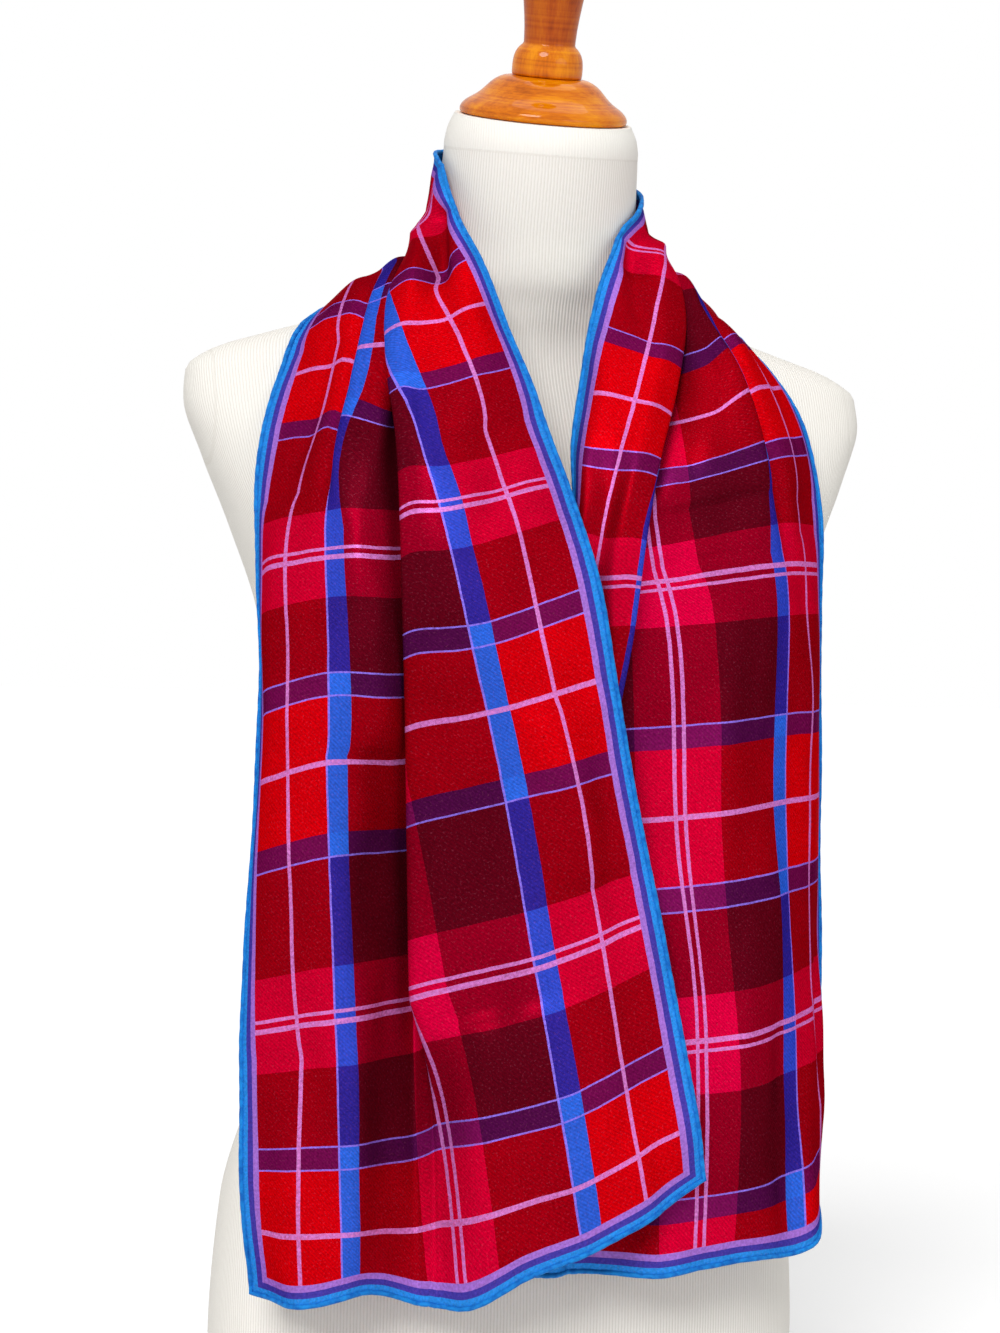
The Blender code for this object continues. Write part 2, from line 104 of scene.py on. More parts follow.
# Paths along the cloth: distance from the left end, x, y, z.
outerHem = [
    (0.000, -0.175, -0.095, 0.131),
    (0.133, -0.179, -0.100, 0.248),
    (0.363, -0.175, -0.105, 0.470),
    (0.478, -0.176, -0.078, 0.575),
    (0.535, -0.167, -0.054, 0.620),
    (0.593, -0.148, -0.022, 0.664),
    (0.651, -0.117, 0.027, 0.691),
    (0.708, -0.088, 0.080, 0.664),
    (0.806, 0.000, 0.103, 0.638),
    (0.892, 0.090, 0.080, 0.660),
    (0.949, 0.118, 0.032, 0.686),
    (1.007, 0.124, -0.007, 0.679),
    (1.065, 0.134, -0.043, 0.660),
    (1.122, 0.151, -0.066, 0.622),
    (1.179, 0.160, -0.068, 0.571),
    (1.237, 0.164, -0.060, 0.517),
    (1.352, 0.170, -0.053, 0.406),
    (1.467, 0.176, -0.047, 0.293),
    (1.600, 0.168, -0.046, 0.150),
]
outerCrown = [
    (0.000, -0.127, -0.150, 0.134),
    (0.133, -0.134, -0.152, 0.260),
    (0.363, -0.147, -0.160, 0.486),
    (0.478, -0.144, -0.140, 0.583),
    (0.535, -0.123, -0.113, 0.630),
    (0.593, -0.110, -0.078, 0.674),
    (0.651, -0.097, -0.034, 0.705),
    (0.708, -0.085, 0.036, 0.702),
    (0.806, 0.000, 0.089, 0.697),
    (0.892, 0.086, 0.036, 0.702),
    (0.949, 0.088, -0.026, 0.712),
    (1.007, 0.091, -0.067, 0.690),
    (1.065, 0.097, -0.100, 0.657),
    (1.122, 0.108, -0.119, 0.614),
    (1.179, 0.120, -0.125, 0.570),
    (1.237, 0.127, -0.117, 0.515),
    (1.352, 0.131, -0.109, 0.403),
    (1.467, 0.140, -0.104, 0.284),
    (1.600, 0.152, -0.105, 0.152),
]
pleatFoot = [
    (0.000, -0.083, -0.120, 0.128),
    (0.133, -0.085, -0.109, 0.261),
    (0.248, -0.090, -0.112, 0.375),
    (0.363, -0.104, -0.150, 0.484),
    (0.478, -0.107, -0.137, 0.583),
    (0.535, -0.106, -0.108, 0.627),
    (0.593, -0.099, -0.075, 0.672),
    (0.651, -0.080, -0.033, 0.712),
    (0.708, -0.067, 0.012, 0.726),
    (0.757, -0.048, 0.055, 0.726),
    (0.806, 0.000, 0.072, 0.724),
    (0.855, 0.048, 0.055, 0.724),
    (0.892, 0.067, 0.014, 0.726),
    (0.949, 0.069, -0.036, 0.716),
    (1.007, 0.067, -0.068, 0.681),
    (1.065, 0.054, -0.100, 0.632),
    (1.122, 0.039, -0.130, 0.591),
    (1.179, 0.029, -0.146, 0.549),
    (1.237, 0.025, -0.143, 0.503),
    (1.352, 0.012, -0.130, 0.390),
    (1.467, 0.018, -0.126, 0.272),
    (1.600, 0.014, -0.126, 0.143),
]
innerCrown = [
    (0.000, 0.010, -0.168, 0.163),
    (0.133, -0.015, -0.170, 0.291),
    (0.248, -0.040, -0.172, 0.408),
    (0.363, -0.068, -0.181, 0.512),
    (0.421, -0.080, -0.177, 0.563),
    (0.478, -0.088, -0.158, 0.605),
    (0.535, -0.084, -0.130, 0.650),
    (0.593, -0.081, -0.090, 0.689),
    (0.651, -0.073, -0.049, 0.723),
    (0.708, -0.0645, -0.006, 0.748),
    (0.757, -0.049, 0.045, 0.757),
    (0.806, 0.000, 0.063, 0.760),
    (0.855, 0.048, 0.047, 0.756),
    (0.892, 0.0635, 0.003, 0.744),
    (0.949, 0.053, -0.046, 0.727),
    (1.007, 0.040, -0.080, 0.687),
    (1.065, 0.028, -0.116, 0.648),
    (1.122, 0.014, -0.143, 0.602),
    (1.179, 0.007, -0.149, 0.555),
    (1.237, 0.000, -0.142, 0.503),
    (1.352, -0.016, -0.132, 0.390),
    (1.467, -0.012, -0.128, 0.272),
    (1.600, -0.020, -0.128, 0.142),
]
innerHem = [
    (0.000, 0.077, -0.155, 0.194),
    (0.133, 0.050, -0.151, 0.318),
    (0.248, 0.024, -0.157, 0.424),
    (0.363, -0.002, -0.163, 0.537),
    (0.478, -0.028, -0.136, 0.622),
    (0.535, -0.040, -0.110, 0.664),
    (0.593, -0.050, -0.080, 0.708),
    (0.651, -0.060, -0.047, 0.743),
    (0.708, -0.0590, -0.010, 0.779),
    (0.757, -0.045, 0.034, 0.792),
    (0.806, 0.000, 0.053, 0.795),
    (0.855, 0.045, 0.034, 0.781),
    (0.898, 0.0560, -0.010, 0.765),
    (0.949, 0.038, -0.050, 0.735),
    (1.007, 0.020, -0.074, 0.699),
    (1.065, 0.006, -0.100, 0.653),
    (1.122, -0.008, -0.128, 0.605),
    (1.179, -0.009, -0.137, 0.559),
    (1.237, -0.024, -0.135, 0.506),
    (1.352, -0.045, -0.128, 0.392),
    (1.467, -0.051, -0.126, 0.275),
    (1.600, -0.058, -0.124, 0.139),
]

# The pleat: distance from the left end, where it begins and ends across the cloth, where the inner crown is
# across the cloth, how far the fold stands out, how much it comes up.
pleat = [
    (0.000, 0.120, 0.138, 0.242, 0.016, 0.000),
    (0.133, 0.127, 0.158, 0.242, 0.020, 0.004),
    (0.248, 0.127, 0.177, 0.242, 0.021, 0.012),
    (0.363, 0.127, 0.199, 0.242, 0.017, 0.020),
    (0.478, 0.127, 0.221, 0.245, 0.016, 0.018),
    (0.535, 0.118, 0.231, 0.258, 0.017, 0.014),
    (0.593, 0.102, 0.241, 0.271, 0.015, 0.009),
    (0.651, 0.095, 0.256, 0.283, 0.009, 0.004),
    (0.708, 0.098, 0.250, 0.2795, 0.006, 0.002),
    (0.806, 0.094, 0.240, 0.2765, 0.008, 0.000),
    (0.892, 0.098, 0.255, 0.285, 0.006, 0.000),
    (0.949, 0.102, 0.260, 0.290, 0.008, 0.001),
    (1.007, 0.114, 0.251, 0.286, 0.013, 0.001),
    (1.065, 0.136, 0.248, 0.280, 0.017, 0.005),
    (1.122, 0.150, 0.246, 0.277, 0.018, 0.006),
    (1.179, 0.1635, 0.242, 0.272, 0.016, 0.004),
    (1.237, 0.180, 0.242, 0.272, 0.013, 0.002),
    (1.352, 0.205, 0.240, 0.272, 0.014, 0.000),
    (1.467, 0.218, 0.236, 0.272, 0.010, 0.000),
    (1.600, 0.222, 0.234, 0.272, 0.011, 0.000),
]

# Cloth hidden in the pleat: share of its length, depth, stand.
hiddenLayers = [
    (0.25, 0.50, 0.05),
    (0.46, 0.95, 0.10),
    (0.50, 1.00, 0.40),
    (0.54, 0.95, 0.60),
    (0.75, 0.50, 0.65),
]

# Layers under each place of the section where it presses on the form.
layersUnder = [
    (0.0, 0.0),
    (6.6, 0.0),
    (7.4, 1.0),
    (10.2, 1.0),
    (11.4, 2.0),
    (14.0, 2.0),
    (15.2, 1.4),
    (16.0, 0.3),
]

# The dress form, metres; the jersey's ribs run up and down, with painted shade in their grooves.
dressForm = {
    "neckTop": 0.806,
    "tiltStart": 0.730,
    "tilt": math.radians(15.0),
    "bustAcross": 0.076,
    "bustHeight": 0.505,
    "bustReach": 0.034,
    "bustSpread": 0.052,
    "bustAbove": 0.075,
    "bustBelow": 0.052,
    "frontFade": 0.04,
    "sides": 168,
    "levels": 190,
    "footEdge": 0.0008,
    "rimStart": 0.004,
    "rimDrops": (0.0032, 0.0024, 0.0016, 0.0009, 0.0003, 0.0),
    "topShares": (0.985, 0.5),
    "bandHeight": 0.020,
    "bandStand": 0.0005,
    "bandFade": 0.0015,
    "ribPitch": 0.0019,
    "ribSway": 0.0008,
    "seamHalf": 0.0007,
    "plateAcross": 0.193,  # the seam where the cut-off arm's plate is covered
    "plateAbove": 0.50,
    "grooveShade": 0.55,
    "seamShade": 0.22,
    "cover": "#F3F0E9",
    # the painted shade colour of the rib grooves, also used for the darker seam lines
    "paintedGrooveShade": "#C9C2B6",
}

# The form's torso: height, half width, reach to the front and to the back, middle, roundness.
torsoSections = [
    (0.000, 0.174, 0.098, 0.116, 0.010, 2.30),
    (0.080, 0.177, 0.100, 0.118, 0.010, 2.30),
    (0.160, 0.172, 0.098, 0.114, 0.010, 2.30),
    (0.220, 0.156, 0.092, 0.100, 0.008, 2.30),
    (0.300, 0.124, 0.086, 0.084, 0.004, 2.25),
    (0.360, 0.127, 0.090, 0.084, 0.002, 2.25),
    (0.440, 0.147, 0.100, 0.096, 0.000, 2.35),
    (0.510, 0.160, 0.108, 0.108, 0.000, 2.50),
    (0.560, 0.178, 0.100, 0.112, 0.000, 2.60),
    (0.600, 0.195, 0.082, 0.104, 0.002, 2.60),
    (0.635, 0.207, 0.064, 0.088, 0.006, 2.40),
    (0.650, 0.206, 0.057, 0.078, 0.008, 2.30),
    (0.662, 0.191, 0.054, 0.071, 0.010, 2.15),
    (0.674, 0.156, 0.055, 0.066, 0.012, 2.00),
    (0.688, 0.112, 0.058, 0.063, 0.012, 2.00),
    (0.704, 0.081, 0.060, 0.060, 0.008, 2.00),
    (0.728, 0.065, 0.058, 0.058, 0.003, 2.00),
    (0.760, 0.059, 0.057, 0.057, -0.004, 2.00),
    (0.784, 0.0580, 0.0570, 0.0570, -0.0085, 2.00),
    (0.797, 0.0562, 0.0552, 0.0552, -0.0108, 2.00),
    (0.806, 0.0522, 0.0512, 0.0512, -0.0120, 2.00),
]


def readTable(rows, where, innerSlopes):
    # a smooth curve through each column of the table; the first column is the key
    table = np.array(rows)
    key = table[:, 0]
    value = table[:, 1:]
    step = np.diff(key)[:, None]
    rise = np.diff(value, axis=0) / step
    slope = np.vstack([rise[:1], innerSlopes(step, rise), rise[-1:]])
    where = np.atleast_1d(where)
    index = np.clip(np.searchsorted(key, where) - 1, 0, len(key) - 2)
    width = step[index]
    t = np.clip((where - key[index])[:, None] / width, 0.0, 1.0)
    start = value[index] * (1 + 2 * t) * (1 - t) ** 2 + slope[index] * width * t * (1 - t) ** 2
    return start + value[index + 1] * t * t * (3 - 2 * t) - slope[index + 1] * width * t * t * (1 - t)


def freeSlopes(step, rise):
    return (rise[:-1] * step[1:] + rise[1:] * step[:-1]) / (step[:-1] + step[1:])


def steadySlopes(step, rise):
    # never past a row's own value
    near = 2 * step[1:] + step[:-1]
    far = step[1:] + 2 * step[:-1]
    with np.errstate(divide="ignore", invalid="ignore"):
        mean = (near + far) / (near / rise[:-1] + far / rise[1:])
    return np.where(rise[:-1] * rise[1:] > 0, mean, 0.0)


def smoothTable(rows, where):
    return readTable(rows, where, freeSlopes)


def steadyTable(rows, where):
    return readTable(rows, where, steadySlopes)


def bustSwell(x, z):
    spread = np.where(z > dressForm["bustHeight"], dressForm["bustAbove"], dressForm["bustBelow"])
    lift = np.exp(-(((z - dressForm["bustHeight"]) / spread) ** 2))
    across = dressForm["bustAcross"]
    sides = sum(np.exp(-(((x - side * across) / dressForm["bustSpread"]) ** 2)) for side in (-1, 1))
    return dressForm["bustReach"] * lift * sides


def neckSlope(z):
    share = (z - dressForm["tiltStart"]) / (dressForm["neckTop"] - dressForm["tiltStart"])
    return math.tan(dressForm["tilt"]) * np.clip(share, 0.0, 1.0)


def torsoReach(angle, z):
    halfWidth, front, back, middle, roundness = steadyTable(torsoSections, z).T
    c = np.cos(angle)
    s = np.sin(angle)
    deep = np.where(s < 0, front, back)
    reach = (np.abs(c / halfWidth) ** roundness + np.abs(s / deep) ** roundness) ** (-1 / roundness)
    return reach, middle


def outsideTorso(points):
    x, y, z = points.T
    level = z
    for _ in range(3):
        middle = steadyTable(torsoSections, np.clip(level, 0.0, dressForm["neckTop"]))[:, 3]
        level = z - (y - middle) * neckSlope(level)
    z = np.clip(level, 0.0, dressForm["neckTop"])
    middle = steadyTable(torsoSections, z)[:, 3]
    y = y + bustSwell(x, z) * np.clip((middle - y) / dressForm["frontFade"], 0.0, 1.0)
    angle = np.arctan2(y - middle, x)
    reach, middle = torsoReach(angle, z)
    return np.hypot(x, y - middle) - reach


def moveClear(points, gap):
    moved = points.copy()
    small = 0.0005
    farthest = 0.02
    for _ in range(4):
        level = outsideTorso(moved)
        slope = np.stack([outsideTorso(moved + small * axis) - level for axis in np.eye(3)], axis=1) / small
        steep = np.linalg.norm(slope, axis=1)
        short = np.clip(gap - level / steep, 0.0, farthest)
        moved += slope / steep[:, None] * short[:, None]
    return moved


def unit(vector):
    return vector / np.linalg.norm(vector)


def outward(point):
    # away from the spine, more to the front than to the side
    sideShare = 0.75
    spine = 0.01
    return unit(np.array([sideShare * point[0], point[1] - spine, 0.0]))


def bow(first, last, cloth):
    span = np.linalg.norm(last - first)
    slack = max(cloth - span, 0.0)
    shallow = min(slack, slackCloth["shallow"] * span)
    height = math.sqrt(3 * span * shallow / 8) + slackCloth["deepRate"] * (slack - shallow)
    along = unit(last - first)
    middle = (first + last) / 2
    fade = slackCloth["shoulderFade"]
    onShoulder = min(max((abs(middle[0]) - slackCloth["shoulderAcross"]) / fade, 0.0), 1.0)
    onShoulder *= min(max((middle[2] - slackCloth["shoulderHeight"]) / fade, 0.0), 1.0)
    out = unit(outward(middle) + onShoulder * np.array([0.0, 0.0, slackCloth["shoulderLift"]]))
    return middle + slackCloth["fullness"] * height * unit(out - np.dot(out, along) * along)


def alongPanel(fold, inner, edge, distance):
    first = np.linalg.norm(inner - fold)
    if distance < first:
        return fold + distance * unit(inner - fold)
    return inner + (distance - first) * unit(edge - inner)


def crossSection(along):
    hem, crown, foot, inner, edge = (
        smoothTable(path, along)[0] for path in (outerHem, outerCrown, pleatFoot, innerCrown, innerHem)
    )
    begin, end, innerAcross, lift, rise = steadyTable(pleat, along)[0]
    hidden = end - begin
    folded = min(max((hidden - lift) / scarf["openPleat"], 0.0), 1.0)
    out = outward(foot)
    side = unit(unit(inner - foot) + unit(edge - foot))
    lean = unit(folded * out + (foldShape["upright"] - folded) * side)
    fold = foot + lift * lean + np.array([0.0, 0.0, rise])
    step = fold - foot
    panel = np.linalg.norm(inner - fold) + np.linalg.norm(edge - inner)
    depth = min(scarf["pleatDepth"] * max(hidden - lift, 0.0), foldShape["deepest"] * panel)
    nose = min(scarf["foldNose"], foldShape["noseShare"] * hidden)
    turn = folded * scarf["foldTurn"] * out
    under = []
    for share, reach, stand in hiddenLayers:
        rest = 1 - folded * stand - (1 - folded) * share
        under.append((alongPanel(fold, inner, edge, reach * depth) - rest * step, begin + share * hidden))
    entry = foldShape["runIn"] * (1 - folded) * step + foldShape["before"] * folded * nose * side
    controls = [
        (hem, 0.0),
        (bow(hem, crown, scarf["crownAcross"]), scarf["crownAcross"] / 2),
        (crown, scarf["crownAcross"]),
        (bow(crown, foot, begin - scarf["crownAcross"]), (scarf["crownAcross"] + begin) / 2),
        (foot, begin),
        *under,
        (fold - entry - turn, end - nose),
        (fold - foldShape["at"] * folded * nose * side, end),
        (fold + nose * side + foldShape["after"] * turn, end + nose),
        (bow(fold, inner, innerAcross - end), (end + innerAcross) / 2),
        (inner, innerAcross),
        (bow(inner, edge, scarf["width"] - innerAcross), (innerAcross + scarf["width"]) / 2),
        (edge, scarf["width"]),
    ]
    return np.array([[*place, across] for place, across in controls])


def curveThrough(controls, where):
    ends = np.vstack([2 * controls[0] - controls[1], controls, 2 * controls[-1] - controls[-2]])
    index = np.clip(np.floor(where).astype(int), 0, len(controls) - 2)
    t = (where - index)[:, None]
    first = (1 - t) ** 3 / 6 * ends[index]
    second = (3 * t**3 - 6 * t**2 + 4) / 6 * ends[index + 1]
    third = (-3 * t**3 + 3 * t**2 + 3 * t + 1) / 6 * ends[index + 2]
    return first + second + third + t**3 / 6 * ends[index + 3]



def feed(tree, socket, value):
    if isinstance(value, bpy.types.NodeSocket):
        tree.links.new(value, socket)
    else:
        socket.default_value = value


def addNode(tree, kind, **settings):
    made = tree.nodes.new("ShaderNode" + kind)
    for name, value in settings.items():
        setattr(made, name, value)
    return made


def work(tree, operation, first, second=0.0, third=0.0):
    made = addNode(tree, "Math", operation=operation)
    for socket, value in zip(made.inputs, (first, second, third)):
        feed(tree, socket, value)
    return made.outputs[0]


def layOver(tree, share, under, over, kind="MIX"):
    made = addNode(tree, "Mix", data_type="RGBA", blend_type=kind)
    feed(tree, made.inputs[0], share)
    feed(tree, made.inputs[6], under)
    feed(tree, made.inputs[7], over)
    return made.outputs[2]


def ramp(tree, value, stops, stepped=False):
    made = addNode(tree, "ValToRGB")
    made.color_ramp.interpolation = "CONSTANT" if stepped else "LINEAR"
    points = made.color_ramp.elements
    points.remove(points[1])
    points[0].position = stops[0][0]
    points[0].color = stops[0][1]
    for position, colour in stops[1:]:
        points.new(position).color = colour
    feed(tree, made.inputs[0], value)
    return made.outputs[0]


def noise(tree, vector, size, detail=2.0, stretch=None):
    # size is the grain's length in metres
    if stretch:
        scaled = addNode(tree, "Mapping")
        scaled.inputs["Scale"].default_value = stretch
        feed(tree, scaled.inputs["Vector"], vector)
        vector = scaled.outputs[0]
    made = addNode(tree, "TexNoise")
    feed(tree, made.inputs["Vector"], vector)
    made.inputs["Scale"].default_value = 1.0 / size
    made.inputs["Detail"].default_value = detail
    return made.outputs[0]


def dye(code):
    # a written colour as the renderer holds it
    parts = [int(code[i : i + 2], 16) / 255 for i in (1, 3, 5)]
    return (*[part / 12.92 if part < 0.04045 else ((part + 0.055) / 1.055) ** 2.4 for part in parts], 1.0)


black = (0.0, 0.0, 0.0, 1.0)
white = (1.0, 1.0, 1.0, 1.0)


def newFinish(name, **constants):
    finish = bpy.data.materials.new(name)
    finish.use_nodes = True
    tree = finish.node_tree
    shader = tree.nodes["Principled BSDF"]
    for socket, value in constants.items():
        shader.inputs[socket.replace("_", " ")].default_value = value
    return finish, tree, shader


def addBump(tree, shader, height, distance, strength=1.0):
    made = addNode(tree, "Bump")
    made.inputs["Strength"].default_value = strength
    made.inputs["Distance"].default_value = distance
    feed(tree, made.inputs["Height"], height)
    feed(tree, shader.inputs["Normal"], made.outputs[0])


def mapOf(tree, name):
    made = addNode(tree, "UVMap", uv_map=name)
    split = addNode(tree, "SeparateXYZ")
    feed(tree, split.inputs[0], made.outputs[0])
    return made.outputs[0], split.outputs[0], split.outputs[1]


# Creases in the silk: across and along where each starts and ends, half width, height, sideways bow, lean.
# A height below zero is a trough; lean carries a ridge across the cloth, over its neighbour.
creases = [
    (0.066, 0.450, 0.061, 0.655, 0.0060, -0.0120, 0.004, 0.000),
    (0.083, 0.440, 0.078, 0.645, 0.0095, 0.0080, 0.004, -0.010),
    (0.090, 0.330, 0.084, 0.560, 0.0120, 0.0030, -0.003, 0.000),
    (0.035, 0.470, 0.052, 0.640, 0.0100, -0.0030, 0.006, 0.000),
    (0.022, 0.260, 0.030, 0.500, 0.0140, 0.0028, 0.004, 0.000),
    (0.048, 0.090, 0.040, 0.330, 0.0150, -0.0026, -0.005, 0.000),
    (0.078, -0.060, 0.088, 0.240, 0.0160, 0.0034, 0.004, 0.000),
    (0.030, -0.080, 0.034, 0.150, 0.0130, 0.0036, -0.003, 0.000),
    (0.268, 0.520, 0.286, 0.640, 0.0090, -0.0024, 0.004, 0.000),
    (0.250, 0.420, 0.276, 0.530, 0.0110, 0.0026, 0.005, 0.000),
    (0.240, 0.380, 0.292, 0.452, 0.0100, -0.0022, 0.006, 0.000),
    (0.262, 0.100, 0.270, 0.330, 0.0150, 0.0030, -0.006, 0.000),
    (0.288, 0.150, 0.300, 0.360, 0.0110, -0.0024, 0.004, 0.000),
    (0.196, -0.070, 0.206, 0.190, 0.0150, -0.0034, 0.005, 0.000),
    (0.232, -0.060, 0.238, 0.140, 0.0140, 0.0036, 0.003, 0.000),
    (0.288, -0.060, 0.280, 0.120, 0.0120, -0.0034, -0.003, 0.000),
    (0.020, 0.660, 0.026, 0.760, 0.0090, -0.0028, 0.004, 0.000),
    (0.050, 0.690, 0.046, 0.850, 0.0100, 0.0026, -0.004, 0.000),
    (0.034, 0.800, 0.022, 0.930, 0.0100, -0.0026, 0.005, 0.000),
    (0.262, 0.740, 0.266, 0.880, 0.0080, -0.0020, 0.003, 0.000),
    (0.296, 0.985, 0.262, 1.060, 0.0080, -0.0026, 0.003, 0.000),
    (0.067, 0.985, 0.062, 1.215, 0.0065, -0.0095, -0.004, 0.000),
    (0.083, 0.995, 0.079, 1.200, 0.0095, 0.0055, -0.004, -0.006),
    (0.088, 1.020, 0.094, 1.260, 0.0130, 0.0032, 0.004, 0.000),
    (0.040, 1.010, 0.030, 1.190, 0.0100, -0.0030, 0.005, 0.000),
    (0.128, 1.090, 0.150, 1.230, 0.0110, -0.0032, 0.006, 0.000),
    (0.110, 1.180, 0.124, 1.400, 0.0150, 0.0032, -0.005, 0.000),
    (0.150, 1.330, 0.166, 1.560, 0.0160, -0.0030, 0.005, 0.000),
    (0.048, 1.230, 0.040, 1.450, 0.0150, 0.0030, 0.005, 0.000),
    (0.024, 1.430, 0.040, 1.530, 0.0080, -0.0036, 0.003, 0.000),
    (0.092, 1.420, 0.084, 1.680, 0.0150, -0.0040, 0.004, 0.000),
    (0.060, 1.500, 0.058, 1.680, 0.0120, 0.0038, -0.003, 0.000),
    (0.182, 1.460, 0.186, 1.690, 0.0150, 0.0036, 0.003, 0.000),
    (0.270, 1.180, 0.282, 1.330, 0.0100, -0.0022, 0.004, 0.000),
]


# A crease's cross form: half width at its start and what it gains, and the low rim on either side.
creaseForm = {
    "narrow": 0.75,
    "widens": 0.5,
    "rim": 0.32,
    "rimReach": 2.3,
    "ends": 0.8,
}

# Faint ripples all over the silk, metres.
ripples = {
    "height": 0.0011,
    "sizes": (0.19, 0.13, 0.085, 0.060, 0.042),
    "wavesEach": 3,
    "turn": 0.9,
    "acrossRate": 1.7,
    "evenOut": 0.35,
    "seed": 11,
}


def creaseRelief(across, along):
    relief = np.zeros_like(across)
    slide = np.zeros_like(across)
    for startAcross, startAlong, endAcross, endAlong, width, height, bend, lean in creases:
        run = math.hypot(endAcross - startAcross, endAlong - startAlong)
        stepAcross = (endAcross - startAcross) / run
        stepAlong = (endAlong - startAlong) / run
        part = ((across - startAcross) * stepAcross + (along - startAlong) * stepAlong) / run
        swing = np.sin(math.pi * np.clip(part, 0.0, 1.0))
        aside = (along - startAlong) * stepAcross - (across - startAcross) * stepAlong - bend * swing
        spread = width * (creaseForm["narrow"] + creaseForm["widens"] * np.clip(part, 0.0, 1.0))
        rim = creaseForm["rim"] * np.exp(-((aside / (creaseForm["rimReach"] * spread)) ** 2))
        bump = np.exp(-((aside / spread) ** 2)) - rim
        relief += height * swing ** creaseForm["ends"] * bump
        slide += lean * swing * np.exp(-((aside / spread) ** 2))
    return relief, slide


def rippleRelief(across, along):
    random = np.random.default_rng(ripples["seed"])
    relief = np.zeros_like(across)
    for size in ripples["sizes"]:
        for _ in range(ripples["wavesEach"]):
            turn = random.uniform(-ripples["turn"], ripples["turn"])
            phase = random.uniform(0, 2 * math.pi)
            wave = (across * math.cos(turn) * ripples["acrossRate"] + along * math.sin(turn)) / size
            relief += size * np.sin(2 * math.pi * wave + phase)
    return ripples["height"] * relief / ripples["evenOut"]


# Hollows beside the neck that take every layer with them: start x, y, z, end x, y, z, reach, depth.
hollows = [
    (-0.072, -0.042, 0.740, -0.079, -0.080, 0.700, 0.0095, 0.0120),
    (0.053, -0.046, 0.736, 0.047, -0.064, 0.714, 0.0085, 0.0075),
]

# Corners and hems that curl: across, along, reach, shift x, y, z.
curls = [
    (0.000, 1.600, 0.070, -0.004, 0.011, 0.018),
    (0.000, 1.600, 0.042, 0.004, 0.004, 0.016),
    (0.000, 1.540, 0.050, 0.004, 0.000, 0.000),
    (0.000, 0.000, 0.028, 0.006, 0.010, -0.003),
    (0.036, 0.000, 0.032, 0.000, -0.004, -0.005),
    (0.088, 0.000, 0.028, 0.000, 0.006, 0.004),
    (0.126, 0.000, 0.030, 0.000, -0.004, 0.000),
    (0.158, 0.000, 0.032, 0.000, 0.001, -0.012),
    (0.3115, 0.000, 0.026, -0.002, 0.006, 0.003),
    (0.066, 1.600, 0.036, 0.000, -0.005, -0.012),
    (0.130, 1.600, 0.034, 0.000, 0.004, -0.002),
    (0.185, 1.600, 0.030, 0.000, -0.003, -0.003),
]


def gridNormals(places):
    along = np.gradient(places, axis=0)
    across = np.gradient(places, axis=1)
    normals = np.cross(across, along)
    return normals / np.linalg.norm(normals, axis=2)[:, :, None]


def pressedGaps(where, across):
    place, layers = np.array(layersUnder).T
    edge = np.minimum(across, scarf["width"] - across)
    under = scarf["wall"] / 2 + scarf["rest"] + scarf["layerStep"] * np.interp(where, place, layers)
    return under + hem["pressShare"] * hem["radius"] * np.exp(-((edge / hem["pressReach"]) ** 2))


def drapeSilk():
    spans = scarf["spans"]
    even = scarf["evenShare"]
    fine = np.linspace(0.0, spans, scarf["samples"])
    share = np.linspace(0.0, 1.0, scarf["columns"])
    alongs = np.linspace(0.0, scarf["length"], scarf["rows"])
    places = []
    wheres = []
    for along in alongs:
        controls = crossSection(along)
        across = curveThrough(controls, fine)[:, 3]
        mixed = even * across / scarf["width"] + (1 - even) * fine / spans
        where = np.interp(share, mixed, fine)
        places.append(curveThrough(controls, where))
        wheres.append(where)
    grid = np.array(places)
    where = np.array(wheres)
    across = np.clip(grid[:, :, 3], 0.0, scarf["width"])
    along = np.repeat(alongs[:, None], scarf["columns"], axis=1)
    places = grid[:, :, :3].copy()
    gaps = pressedGaps(where, across)
    places = moveClear(places.reshape(-1, 3), gaps.ravel()).reshape(places.shape)
    inward = -places[:, :, :2] / np.linalg.norm(places[:, :, :2], axis=2)[:, :, None]
    for *ends, reach, depth in hollows:
        start = np.array(ends[:3])
        run = np.array(ends[3:]) - start
        part = np.clip((places - start) @ run / (run @ run), 0.0, 1.0)
        away = np.linalg.norm(places - start - part[:, :, None] * run, axis=2) / reach
        places[:, :, :2] += inward * (depth * np.exp(-(away**2)))[:, :, None]
    relief, slide = creaseRelief(across, along)
    relief += rippleRelief(across, along)
    past = np.abs(where - scarf["pleatMiddle"]) - scarf["pleatHalf"]
    clear = np.clip(past / scarf["pleatFade"], 0.0, 1.0)
    shown = clear * clear * (3 - 2 * clear)  # the layers inside the pleat stay as they are
    sideways = np.gradient(places, axis=1)
    sideways /= np.linalg.norm(sideways, axis=2)[:, :, None]
    places += gridNormals(places) * (relief * shown)[:, :, None] + sideways * (slide * shown)[:, :, None]
    for curlAcross, curlAlong, reach, *shift in curls:
        away = np.hypot(across - curlAcross, along - curlAlong) / reach
        places += np.exp(-(away**2))[:, :, None] * np.array(shift)
    places = moveClear(places.reshape(-1, 3), gaps.ravel()).reshape(places.shape)
    return places, across, along


def meshObject(name, vertices, faces, material):
    mesh = bpy.data.meshes.new(name)
    mesh.from_pydata([tuple(vertex) for vertex in vertices], [], faces)
    mesh.polygons.foreach_set("use_smooth", [True] * len(mesh.polygons))
    mesh.materials.append(material)
    made = bpy.data.objects.new(name, mesh)
    bpy.context.scene.collection.objects.link(made)
    return made


